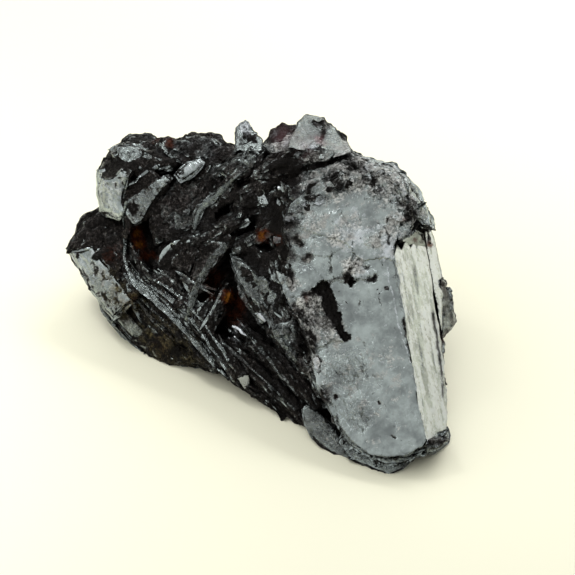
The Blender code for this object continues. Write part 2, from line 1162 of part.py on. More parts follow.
def crest(growth):
    """The peak, its granular shoulder and the small knob on the top edge."""
    growth.layers(
        "crest_mass",
        [
            sheet(-3.0, 13.6, -2.0),
            sheet(0.0, 14.0, -1.2),
            sheet(4.0, 15.0, -1.4),
            sheet(8.6, 13.8, -1.2),
            sheet(7.6, 12.4, 1.6),
            sheet(2.0, 12.4, 1.0),
            stand(-3.5, 14.5, 11.0),
            stand(2.0, 15.8, 12.0),
            stand(8.5, 14.6, 11.5),
            stand(8.0, 13.0, 6.0),
            stand(-2.0, 13.5, 6.0),
        ],
        LEFT_PLANE,
    )
    growth.lump(
        "peak",
        [
            sheet(4.6, 16.9, -0.9),
            sheet(5.2, 17.5, -1.4),
            sheet(6.2, 17.4, -1.4),
            sheet(7.0, 16.8, -1.2),
            sheet(8.5, 15.7, -1.0),
            sheet(8.9, 14.8, -0.5),
            sheet(8.6, 13.6, 0.4),
            sheet(6.0, 13.6, 1.3),
            sheet(4.4, 14.6, 0.6),
            sheet(4.0, 16.0, -0.3),
            sheet(5.0, 16.6, -4.2),
            sheet(8.0, 15.2, -4.2),
            sheet(8.5, 13.0, -4.0),
            sheet(5.0, 13.0, -4.0),
        ],
    )
    growth.lump(
        "peak_side",
        [
            sheet(2.4, 15.4, -0.6),
            sheet(3.0, 16.9, -1.5),
            sheet(4.2, 17.0, -1.5),
            sheet(4.9, 16.0, -0.3),
            sheet(4.6, 14.2, 0.9),
            sheet(3.2, 14.0, 1.1),
            sheet(3.0, 16.2, -4.0),
            sheet(4.6, 16.0, -4.0),
            sheet(4.0, 13.5, -4.0),
        ],
    )
    growth.lump(
        "peak_foot",
        [
            sheet(0.8, 15.7, -1.0),
            sheet(1.6, 16.4, -1.3),
            sheet(2.6, 16.5, -1.2),
            sheet(3.3, 15.6, -0.2),
            sheet(3.0, 14.0, 1.0),
            sheet(1.2, 13.8, 1.2),
            sheet(0.4, 14.8, 0.1),
            sheet(1.0, 15.5, -3.5),
            sheet(3.0, 15.6, -3.5),
            sheet(2.0, 13.5, -4.0),
        ],
    )
    growth.lump(
        "knob",
        [
            sheet(-2.2, 15.6, -1.5),
            sheet(-1.7, 16.0, -1.7),
            sheet(-0.4, 15.9, -1.5),
            sheet(0.2, 14.9, -1.2),
            sheet(-2.2, 14.4, -0.8),
            sheet(-1.0, 13.2, 0.4),
            sheet(0.0, 13.2, 0.0),
            sheet(-2.0, 13.4, -4.0),
            sheet(0.2, 13.6, -4.0),
            sheet(-1.2, 15.6, -3.6),
        ],
    )
    growth.lump(
        "knob_tip",
        [
            sheet(-2.1, 15.2, -1.8),
            sheet(-0.9, 15.3, -1.7),
            sheet(-1.6, 16.8, -2.2),
            sheet(-1.3, 16.7, -2.6),
            sheet(-2.1, 15.2, -3.0),
            sheet(-0.9, 15.3, -3.0),
        ],
    )


# ---------------------------------------------------------------- the pits
def pits(hollows):
    """Open pits between the sheets, and the chip broken out of the lip."""
    hollows.crystals("rust_pit", sheet(15.0, 6.8, 5.4), (0.6, 0.5, 0.4), 1.25, 3)
    hollows.crystals("top_pit", sheet(12.2, 9.6, 4.9), (0.6, 0.3, 0.3), 0.8, 2)
    hollows.lump(
        "leaf_pit",
        [
            sheet(-12.3, 6.6, 4.0),
            sheet(-10.4, 5.6, 4.0),
            sheet(-10.2, 3.2, 4.0),
            sheet(-11.6, 3.4, 4.0),
            sheet(-11.4, 4.6, -2.5),
        ],
    )
    hollows.lump(
        "valley_pit",
        [
            sheet(-4.4, 1.0, 6.0),
            sheet(-1.8, 0.8, 7.0),
            sheet(-1.4, -2.6, 7.5),
            sheet(-3.6, -2.4, 6.0),
            sheet(-2.6, -0.6, -2.0),
        ],
    )
    hollows.lump(
        "upper_pit",
        [
            sheet(-1.6, 6.2, 6.0),
            sheet(1.8, 6.4, 7.0),
            sheet(2.4, 3.2, 8.0),
            sheet(-0.6, 3.2, 7.0),
            sheet(0.6, 4.8, 0.0),
        ],
    )
    hollows.lump(
        "lip_chip",
        [
            on(BLOCK_PLANE, 16.0, -15.2) + Vector((0, 0, 1.0)),
            on(BLOCK_PLANE, 17.0, -14.9) + Vector((0, 0, 1.0)),
            on(BLOCK_PLANE, 16.9, -16.6),
            on(BLOCK_PLANE, 15.8, -16.8),
            on(BLOCK_PLANE, 16.4, -15.6) + Vector((0, 0, -1.6)),
        ],
    )


# ---------------------------------------------------------------- joining
def fill_hollows(mesh):
    """Drops the skins of any small hollows that the joined solids enclose."""
    bm = bmesh.new()
    bm.from_mesh(mesh)
    left = set(bm.faces)
    skins = []
    while left:
        skin = set()
        edge = [left.pop()]
        while edge:
            face = edge.pop()
            skin.add(face)
            near = {f for e in face.edges for f in e.link_faces} & left
            left -= near
            edge.extend(near)
        skins.append(skin)
    skins.sort(key=len)
    spare = [face for skin in skins[:-1] for face in skin]
    bmesh.ops.delete(bm, geom=spare, context="FACES")
    bm.to_mesh(mesh)
    bm.free()


def joined(growth, hollows, name):
    """The growth as one mesh, less its pits, cut flat where it rests and centred on its foot."""
    pieces = list(growth.collection.objects)
    body = pieces[0]
    growth.collection.objects.unlink(body)
    bpy.context.scene.collection.objects.link(body)

    union = body.modifiers.new("grown_together", "BOOLEAN")
    union.operation = "UNION"
    union.operand_type = "COLLECTION"
    union.collection = growth.collection
    pitting = body.modifiers.new("pitting", "BOOLEAN")
    pitting.operation = "DIFFERENCE"
    pitting.operand_type = "COLLECTION"
    pitting.collection = hollows.collection

    bpy.ops.mesh.primitive_cube_add(
        size=2 * GROUND_CUT, location=(0.0, 0.0, -GROUND_CUT)
    )
    ground = bpy.context.object
    ground.name = "ground_cut"
    ground.hide_render = True
    ground.display_type = "WIRE"
    foot_cut = body.modifiers.new("foot_cut", "BOOLEAN")
    foot_cut.operation = "DIFFERENCE"
    foot_cut.object = ground

    bpy.context.view_layer.update()
    graph = bpy.context.evaluated_depsgraph_get()
    mesh = bpy.data.meshes.new_from_object(body.evaluated_get(graph))
    for spare in [body, ground, *pieces[1:], *hollows.collection.objects]:
        bpy.data.objects.remove(spare)

    fill_hollows(mesh)
    corners = [v.co for v in mesh.vertices]
    middle = [(min(c[i] for c in corners) + max(c[i] for c in corners)) / 2 for i in (0, 1)]
    mesh.transform(Matrix.Translation((-middle[0], -middle[1], 0.0)))
    mesh.transform(Matrix.Scale(MM, 4))
    mesh.name = name
    stone = bpy.data.objects.new(name, mesh)
    return stone


def hematite_material():
    material = bpy.data.materials.new("hematite")
    material.use_nodes = True
    shader = material.node_tree.nodes["Principled BSDF"]
    shader.inputs["Base Color"].default_value = (0.10, 0.105, 0.11, 1.0)
    shader.inputs["Metallic"].default_value = 0.8
    shader.inputs["Roughness"].default_value = 0.35
    return material


def main():
    for old in list(bpy.data.objects):
        bpy.data.objects.remove(old)

    growth = Growth("growths")
    masses(growth)
    left_leaf(growth)
    foot(growth)
    fan(growth)
    left_shoulder(growth)
    left_terraces(growth)
    middle_terraces(growth)
    block_front(growth)
    block_flank(growth)
    valley(growth)
    block_top(growth)
    crest(growth)

    hollows = Growth("hollows")
    pits(hollows)

    stone = joined(growth, hollows, "hematite")
    stone.data.materials.clear()
    stone.data.materials.append(hematite_material())
    specimen = bpy.data.collections.new("hematite")
    bpy.context.scene.collection.children.link(specimen)
    specimen.objects.link(stone)


main()
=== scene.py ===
"""Lamellar hematite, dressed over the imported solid.

All drawing is in millimetres on the leaning plane that the sheets follow: u to the right,
v up the slope, w out of it. A plane is (w at u = v = 0, w per mm of u, w per mm of v).
Row coordinates are the part's own. Outlines and lines are written as "u,v u,v ...".
"""

import math
from dataclasses import dataclass, replace

import bpy
import numpy as np
from mathutils import Matrix, Vector
from mathutils.geometry import delaunay_2d_cdt


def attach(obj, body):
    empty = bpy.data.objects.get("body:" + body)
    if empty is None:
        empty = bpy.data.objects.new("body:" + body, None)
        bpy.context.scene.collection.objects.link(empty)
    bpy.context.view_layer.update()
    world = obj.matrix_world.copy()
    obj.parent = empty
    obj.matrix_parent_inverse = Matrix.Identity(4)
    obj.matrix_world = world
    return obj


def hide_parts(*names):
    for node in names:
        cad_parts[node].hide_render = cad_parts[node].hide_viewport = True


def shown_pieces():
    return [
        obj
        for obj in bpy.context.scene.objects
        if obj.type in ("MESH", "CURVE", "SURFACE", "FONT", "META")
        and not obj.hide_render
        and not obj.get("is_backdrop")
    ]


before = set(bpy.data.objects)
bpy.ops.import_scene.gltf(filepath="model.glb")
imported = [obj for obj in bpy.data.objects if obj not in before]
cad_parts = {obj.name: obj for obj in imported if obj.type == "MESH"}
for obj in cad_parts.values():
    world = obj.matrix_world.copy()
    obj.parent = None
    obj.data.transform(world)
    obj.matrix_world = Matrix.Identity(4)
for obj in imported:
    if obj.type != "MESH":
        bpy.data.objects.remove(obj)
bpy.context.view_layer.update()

# ------------------------------------------------------------------ the drawing plane
MM = 0.001
LEAN = math.radians(35.0)  # of the drawing plane, back from upright
SINE, COSINE = math.sin(LEAN), math.cos(LEAN)
HEIGHT = 6.55  # of the drawing plane's origin over the floor
CENTRE = (0.181, -2.575)  # of the box, seen from the drawing plane's origin
LEFT = (4.1, 0.35, -0.25)  # the thin leaves
BLOCK = (7.5, 0.25, -0.29)  # the smooth block's front
BLOCK_SIDE = (38.4, -2.1, -0.8)  # the bright face to the right of it
FOOT = (6.7, 0.625, 0.21)
VALLEY = (4.0, 0.6, -0.3)


def raised(plane, by):
    """The plane moved out by an amount."""
    return (plane[0] + by, plane[1], plane[2])


def turned(plane, by, tilt, at):
    """The plane raised by an amount and tilted about a place."""
    out = plane[0] + by - tilt[0] * at[0] - tilt[1] * at[1]
    return (out, plane[1] + tilt[0], plane[2] + tilt[1])


def out_of(plane, u, v):
    """Height of a plane, or of a surface given as a function, at places on the drawing plane."""
    if callable(plane):
        return plane(u, v)
    return plane[0] + plane[1] * u + plane[2] * v


def sheet_normal(plane):
    n = np.array([-plane[1], -plane[2], 1.0])
    return n / np.linalg.norm(n)


def to_row(q):
    """Sheet coordinates (n, 3) in mm to row coordinates in mm."""
    u, v, w = q.T
    y = v * SINE - w * COSINE - CENTRE[1]
    return np.stack([u - CENTRE[0], y, v * COSINE + w * SINE + HEIGHT], axis=1)


def to_sheet(p):
    """Row coordinates (n, 3) in mm to sheet coordinates in mm."""
    x, y, z = p[:, 0] + CENTRE[0], p[:, 1] + CENTRE[1], p[:, 2] - HEIGHT
    return np.stack([x, y * SINE + z * COSINE, -y * COSINE + z * SINE], axis=1)


def way_to_sheet(m):
    """Directions (n, 3) in row coordinates to sheet coordinates."""
    return to_sheet(m) - to_sheet(np.zeros((1, 3)))


# ------------------------------------------------------------------ noise
def scramble(cell, seed):
    """A random 32-bit number for each whole-number cell (n, 3)."""
    x, y, z = cell.astype(np.uint32).T
    with np.errstate(over="ignore"):
        h = x * np.uint32(73856093) ^ y * np.uint32(19349663) ^ z * np.uint32(83492791)
        h ^= np.uint32((seed * 2654435761) & 0xFFFFFFFF)
        h ^= h >> np.uint32(15)
        h *= np.uint32(2246822519)
        h ^= h >> np.uint32(13)
        h *= np.uint32(3266489917)
        h ^= h >> np.uint32(16)
    return h


def thirds(cell, seed):
    """Three random whole numbers in 0..1023 for each cell."""
    h = scramble(cell, seed).astype(np.int64)
    return np.stack([h & 1023, (h >> 10) & 1023, (h >> 20) & 1023], axis=1)


def noise(p, seed=0):
    """Gradient noise in about -1..1 at points (n, 3)."""
    i = np.floor(p)
    f = p - i
    i = i.astype(np.int64)
    fade = f * f * f * (f * (f * 6 - 15) + 10)
    total = 0.0
    for corner in np.ndindex(2, 2, 2):
        h = scramble(i + corner, seed)
        angle = (h & np.uint32(0xFFFF)).astype(np.float64) * (2 * math.pi / 65536)
        z = (h >> np.uint32(16)).astype(np.float64) / 32768.0 - 1.0
        r = np.sqrt(np.maximum(0.0, 1 - z * z))
        x, y = np.cos(angle) * r, np.sin(angle) * r  # with z, the corner's own slope
        gap = f - corner
        dot = x * gap[:, 0] + y * gap[:, 1] + z * gap[:, 2]
        near = [fade[:, k] if corner[k] else 1 - fade[:, k] for k in range(3)]
        total = total + dot * (near[0] * near[1] * near[2])
    return total * 1.6


def fbm(p, octaves=4, seed=0, gain=0.5):
    """Noise summed over octaves, each about twice as fine as the last."""
    total, size, norm = 0.0, 1.0, 0.0
    for octave in range(octaves):
        total = total + size * noise(p * 2.03**octave + 13.7 * octave, seed + octave)
        norm += size
        size *= gain
    return total / norm


def facets(p, seed=0, flat=False):
    """Flat cells, each tilted its own way: their height and one random number per cell."""
    i = np.floor(p).astype(np.int64)
    nearest = np.full(len(p), 1e9)
    height, lot = np.zeros(len(p)), np.zeros(len(p))
    for neighbour in np.ndindex(3, 3, 1 if flat else 3):
        step = np.array(neighbour) - (1, 1, 0 if flat else 1)
        c = i + step
        gap = p - c - thirds(c, seed) / 1024.0
        if flat:
            gap[:, 2] = 0.0
        far = (gap**2).sum(axis=1)
        tilt = thirds(c, seed + 71) / 512.0 - 1.0
        take = far < nearest
        nearest = np.where(take, far, nearest)
        height = np.where(take, (gap * tilt).sum(axis=1) + 0.2 * tilt[:, 2], height)
        lot = np.where(take, tilt[:, 0], lot)
    return height, lot


def smooth(low, high, x):
    """Rises from 0 at low to 1 at high."""
    t = np.clip((x - low) / (high - low), 0.0, 1.0)
    return t * t * (3 - 2 * t)


def flat3(a, b, c=0.0):
    """Points (n, 3) from columns, of which the last two may be single numbers."""
    return np.stack([a, np.broadcast_to(b, a.shape), np.broadcast_to(c, a.shape)], axis=1)


# ------------------------------------------------------------------ outlines
def drawn(text):
    """The places in a text: one row for each, with as many numbers as it has."""
    return np.array([[float(n) for n in place.split(",")] for place in text.split()])


def distance(points, line, closed=False):
    """Distance (n,) from points (n, 2) to a line (m, 2)."""
    best = np.full(len(points), 1e9)
    ends = list(zip(line, line[1:])) + ([(line[-1], line[0])] if closed else [])
    for a, b in ends:
        d = b - a
        t = np.clip(((points - a) @ d) / max(d @ d, 1e-9), 0.0, 1.0)
        best = np.minimum(best, ((points - a - t[:, None] * d) ** 2).sum(axis=1))
    return np.sqrt(best)


def inside(points, poly):
    """Which points (n, 2) lie in the polygon (m, 2)."""
    x, y = points.T
    hit = np.zeros(len(points), bool)
    for (x0, y0), (x1, y1) in zip(poly, np.roll(poly, -1, axis=0)):
        if y0 != y1:
            hit ^= ((y0 > y) != (y1 > y)) & (x < (x1 - x0) * (y - y0) / (y1 - y0) + x0)
    return hit


def depth_in(points, poly):
    """How far inside the polygon each point lies, and below zero outside it."""
    return distance(points, poly, True) * np.where(inside(points, poly), 1.0, -1.0)


def walk(outline, step):
    """The outline (m, 2) with a point about every step."""
    points = []
    for a, b in zip(outline, np.roll(outline, -1, axis=0)):
        n = max(1, int(round(np.linalg.norm(b - a) / step)))
        for k in range(n):
            points.append(a + (b - a) * (k / n))
    return np.array(points)


def anticlockwise(ring):
    """Whether a ring runs anticlockwise, seen from in front."""
    nxt = np.roll(ring, -1, axis=0)
    return np.sum(ring[:, 0] * nxt[:, 1] - nxt[:, 0] * ring[:, 1]) > 0


def edge_normals(ring):
    """Outward unit normals of a ring that may run either way round."""
    ahead = np.roll(ring, -1, axis=0) - np.roll(ring, 1, axis=0)
    out = np.stack([ahead[:, 1], -ahead[:, 0]], axis=1)
    out /= np.maximum(np.linalg.norm(out, axis=1, keepdims=True), 1e-9)
    return out if anticlockwise(ring) else -out


def fill(points, ring, facing):
    """Triangles over the ring and the points in it, wound to face up (1) or down (-1)."""
    rim = [list(range(len(ring)))]
    made = delaunay_2d_cdt([Vector(p) for p in points], [], rim, 1, 1e-5, True)
    source = np.arange(len(points))
    if len(made[0]) != len(points):  # the ring crosses itself
        points = np.array([tuple(p) for p in made[0]])
        source = np.array([o[0] if o else 0 for o in made[3]])
    tri = np.array(made[2])
    a, b, c = (points[tri[:, k]] for k in range(3))
    area = (b - a)[:, 0] * (c - a)[:, 1] - (b - a)[:, 1] * (c - a)[:, 0]
    wrong = area * facing < 0
    tri[wrong] = tri[wrong][:, ::-1]
    return points, source, tri[inside((a + b + c) / 3.0, ring)]


def rested(q, plane):
    """Points of a plate, with those under the floor drawn up along its plane."""
    if callable(plane):
        return q
    corner = to_row(np.array([[0.0, 0.0, 0.0], [1.0, 0.0, plane[1]], [0.0, 1.0, plane[2]]]))[:, 2]
    climb = corner[1:] - corner[0]
    short = np.maximum(-to_row(q)[:, 2], 0.0)
    step = short[:, None] * climb / (climb @ climb)
    return q + np.column_stack([step, step @ np.array(plane[1:])])


# ------------------------------------------------------------------ meshes
def make_piece(name, verts, faces, material, smooth_angle=35.0):
    """A mesh from row coordinates in mm that rides the stone."""
    mesh = bpy.data.meshes.new(name)
    mesh.from_pydata((verts * MM).tolist(), [], faces)
    mesh.update()
    piece = bpy.data.objects.new(name, mesh)
    bpy.context.scene.collection.objects.link(piece)
    mesh.materials.append(material)
    mesh.shade_smooth()
    mesh.set_sharp_from_angle(angle=math.radians(smooth_angle))
    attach(piece, "root")
    return piece


def paint(piece, name, values):
    """One number for each point, which the material reads."""
    layer = piece.data.attributes.new(name, "FLOAT", "POINT")
    layer.data.foreach_set("value", np.ascontiguousarray(values, dtype=np.float32))


def triples(items, key, count):
    """One vector of each of a mesh's items, as (n, 3)."""
    values = np.empty(count * 3, np.float32)
    items.foreach_get(key, values)
    return values.reshape(-1, 3).astype(float)


def places(mesh):
    return triples(mesh.vertices, "co", len(mesh.vertices))


def normals(mesh):
    return triples(mesh.vertex_normals, "vector", len(mesh.vertices))


# ------------------------------------------------------------------ styles
@dataclass(frozen=True)
class Style:
    """How a plate is broken and what its face is like."""

    thick: float = 3.0
    page: float = 0.4  # mean thickness of the pages in its side wall
    flare: float = 0.12  # how much wider it gets per mm of depth
    chip: float = 0.22  # depth of the chips along its outline
    step: float = 0.2  # between its points
    band: float = 0.0  # how far in from the rim its face is kept fine
    relief: float = 0.07  # height of the face's swells
    grain: float = 0.9  # how many swells a mm
    rim: float = 0.12  # how far the face falls at its rim
    edge: float = 0.5  # painted highlight along the rim, as brighter clean metal
    rough: float = 0.0  # small tilted facets
    run: float = -60.0  # heading of its lines, in degrees from the right
    stria: float = 0.0  # fine lines
    saw: float = 0.0  # height of its steps
    pitch: float = 0.5  # between its steps
    veins: float = 0.0  # dark cracks
    streaks: float = 0.0  # pale and dark strips
    shine: float = 0.5  # from dull oxide to clean metal
    pale_and_highlight: float = 0.0  # whitened metal, and painted highlight on glints and on faces that mirror bright light
    marks: bool = False  # whether STEPS, HOLES and CRACKS are cut in it


POLISHED = Style(
    page=0.5, flare=0.1, chip=0.14, relief=0.06, grain=0.2, rim=0.08, step=0.125, stria=0.012, edge=0.0,
    pale_and_highlight=0.1, marks=True, veins=0.15, streaks=0.12,
)
# the bright face beside the block: its pale_and_highlight is partly painted reflection of the bright
# floor
FLANK = Style(
    page=0.7, flare=0.0, chip=0.1, relief=0.07, grain=0.18, rim=0.03, step=0.13, stria=0.05, run=-80.0,
    edge=0.0, pale_and_highlight=0.72, saw=0.06, pitch=1.4, streaks=1.0,
)
LIP = Style(
    page=0.22, flare=0.05, chip=0.16, relief=0.03, grain=0.5, rim=0.05, stria=0.03, rough=0.12,
    step=0.14, edge=0.3,
)
BRIGHT = Style(
    page=0.3, flare=0.1, chip=0.16, relief=0.05, grain=0.5, rim=0.1, stria=0.06, rough=0.25, pale_and_highlight=0.4,
    step=0.14, veins=1.1, streaks=0.35, run=-60.0,
)
# small white plates: painted highlights where facets catch the light
GLINT = replace(BRIGHT, pale_and_highlight=1.0, veins=0.0, streaks=0.0, rough=0.0)
BAND = replace(BRIGHT, pale_and_highlight=0.05, veins=0.9)
FAN = Style(
    page=0.26, flare=0.15, chip=0.16, relief=0.06, grain=0.8, rim=0.08, stria=0.04, run=-48.0,
    rough=0.35, step=0.16, saw=0.26, pitch=0.55,
)
LEAF = Style(
    page=0.3, flare=0.22, chip=0.3, relief=0.06, grain=1.0, rim=0.1, stria=0.06, rough=0.9, step=0.165,
    edge=0.8, run=40.0, saw=0.1, pitch=0.9,
)
BLADE = Style(
    page=0.3, flare=0.14, chip=0.22, relief=0.05, grain=0.9, rim=0.1, stria=0.05, run=-50.0, rough=0.6,
    step=0.165, edge=0.45, saw=0.14, pitch=0.5,
)
CRUSTY = Style(
    page=0.34, flare=0.2, chip=0.3, relief=0.1, grain=1.1, rim=0.16, rough=0.9, step=0.14, pale_and_highlight=0.2,
)
CAP = Style(
    page=0.45, flare=0.2, chip=0.4, relief=0.16, grain=0.8, rim=0.05, rough=0.6, step=0.14, edge=0.1,
    pale_and_highlight=0.15, veins=0.5,
)
PEAK = Style(
    page=0.4, flare=0.1, chip=0.25, relief=0.1, grain=0.7, rim=0.05, rough=0.2, step=0.13, edge=0.2,
    pale_and_highlight=0.12, veins=0.3, marks=True,
)
STEP = Style(
    page=0.3, flare=0.1, chip=0.06, relief=0.02, grain=0.6, rim=0.04, stria=0.02, step=0.12, edge=0.9,
)
SHARD = Style(
    page=0.18, flare=0.1, chip=0.1, relief=0.02, grain=2.0, rim=0.04, shine=0.45, stria=0.03, rough=0.4,
    step=0.15, edge=0.9,
)
RIBBON = replace(SHARD, thick=1.2, page=0.3, chip=0.12, rough=0.3, edge=0.4, stria=0.0)
LOOSE, CLOSE = 0.34, 0.12  # how far shards tilt out of their plane

# ------------------------------------------------------------------ tables
STEPS = (
    # outline, lift, how dark its edge is
    (
        "2.2,6 4,7 8,8 9,5 9.2,3.8 9,2.5 8.5,1.4 7.5,0.9 6.4,0.7 6.6,-0.2 7,-1.5 7.6,-3 8.3,-4.6 "
        "8.4,-5.1 7.2,-5 6.2,-5.5 5,-5.9 2,-4 1,2",
        0.16, 0.0,
    ),
    ("4,6 8.8,4.6 9.4,3.3 10.6,2.9 12.3,3.3 13.4,2.8 16,4 15.5,6 13.8,8.5 12,11 4,9", 0.14, 0.1),
    ("8.4,2.2 9.5,2.9 10.8,2.6 11.6,1.6 11,0.9 9.8,1.1 8.8,0.7 7.8,0.9", 0.16, 0.2),
    ("4.6,-6.4 7,-5.8 8.7,-6.6 9.4,-8.4 8.8,-10.2 7.6,-11.4 6.6,-10.8 5.4,-9.8 4,-7.6", 0.05, 0.1),
    ("3,1.5 5,2.2 6.2,1.4 5.8,-0.6 4.4,-1.4 3.2,-0.6", 0.1, 0.2),
    ("9,-11.6 12,-10.8 14.6,-11.5 15.8,-13 15,-15 12,-15.4 9.6,-14", 0.04, 0.02),
    ("5.2,5.2 8,5.6 8.4,4.2 6.4,3.2 4.6,3.6", 0.1, 0.25),
    ("10.4,5.9 12.6,6.4 13.2,5 11.6,4.2 10.2,4.6", 0.1, 0.25),
)
HOLES = (
    "5.1,0.1 5.8,0.6 6.3,1.05 6.7,0.9 7,0.1 7.5,-0.6 7.7,-1.6 8.1,-2.7 8.4,-3.7 9.1,-4.8 8.6,-5.1 "
    "7.9,-4.6 7.3,-3.6 6.9,-2.7 6.3,-2.1 6,-1.3 6.3,-0.7 5.7,-0.4",
    "8.7,0.7 9,1.4 9.4,1.1 9.2,0.4 8.8,0.2",
)
CRACKS = (
    # line, half width, depth, how dark
    ("6.8,16.8 6.3,15.7 6,14.8 5.7,13.8", 0.17, 0.3, 1.0),
    ("8.5,0.9 8.9,1.5", 0.3, 0.1, 0.9),
    ("8.6,1.6 9,2.4 9.9,2.5 10.7,2.2", 0.24, 0.08, 0.6),
    ("10.7,1 11.3,1.1", 0.3, 0.1, 0.8),
    ("6.4,0.6 7.6,1.1 8.6,1.4", 0.12, 0.06, 0.5),
    ("7.2,3.8 7,2.6 6.9,1.6", 0.14, 0.06, 0.5),
    ("14.1,-2.8 14.6,-4.6 15,-7", 0.16, 0.1, 0.8),
    ("5.8,-10.6 6.6,-12.4 8.2,-14.4", 0.14, 0.1, 0.8),
    ("6,-11.2 8,-13.6 10,-16.2", 0.1, 0.1, 0.6),
    ("7.5,-10.5 7.6,-10.6", 0.2, 0.15, 0.9),
    ("12.4,6.2 12.9,5.4 12.7,4.6", 0.14, 0.08, 0.8),
    ("3.6,5.2 4.2,4.6", 0.3, 0.1, 0.8),
    ("3.4,-1.6 4,-2.4", 0.4, 0.12, 0.8),
    ("4.8,-4.2 5.4,-4.8", 0.35, 0.12, 0.8),
    ("11.8,-11.2 11.9,-11.3", 0.14, 0.1, 0.8),
    ("13,-14.4 13.2,-14.5", 0.16, 0.1, 0.8),
    ("4.4,3 4.9,3.3", 0.42, 0.12, 0.7),
    ("2.9,1.9 3.2,1 3,0.4", 0.32, 0.12, 0.7),
    ("4.4,-0.4 5.2,-0.3", 0.3, 0.1, 0.8),
    ("9.8,-0.9 10,-1.6", 0.1, 0.04, 0.5),
    ("11.7,-0.6 11.9,-1.4", 0.08, 0.04, 0.6),
    ("13.4,3.6 14,3.5", 0.3, 0.15, 0.9),
    ("11.8,5.4 12,5.8", 0.2, 0.1, 0.6),
    ("9.8,-5 11,-5.6 12.4,-7.4 13.6,-9", 0.05, 0.02, 0.15),
    ("9,-6 10.4,-8 11.4,-10.4", 0.04, 0.02, 0.15),
    ("10,-9 12,-11 13.4,-13.4", 0.04, 0.02, 0.15),
    ("12,-5.4 13,-7 13.8,-9.6", 0.04, 0.02, 0.15),
)

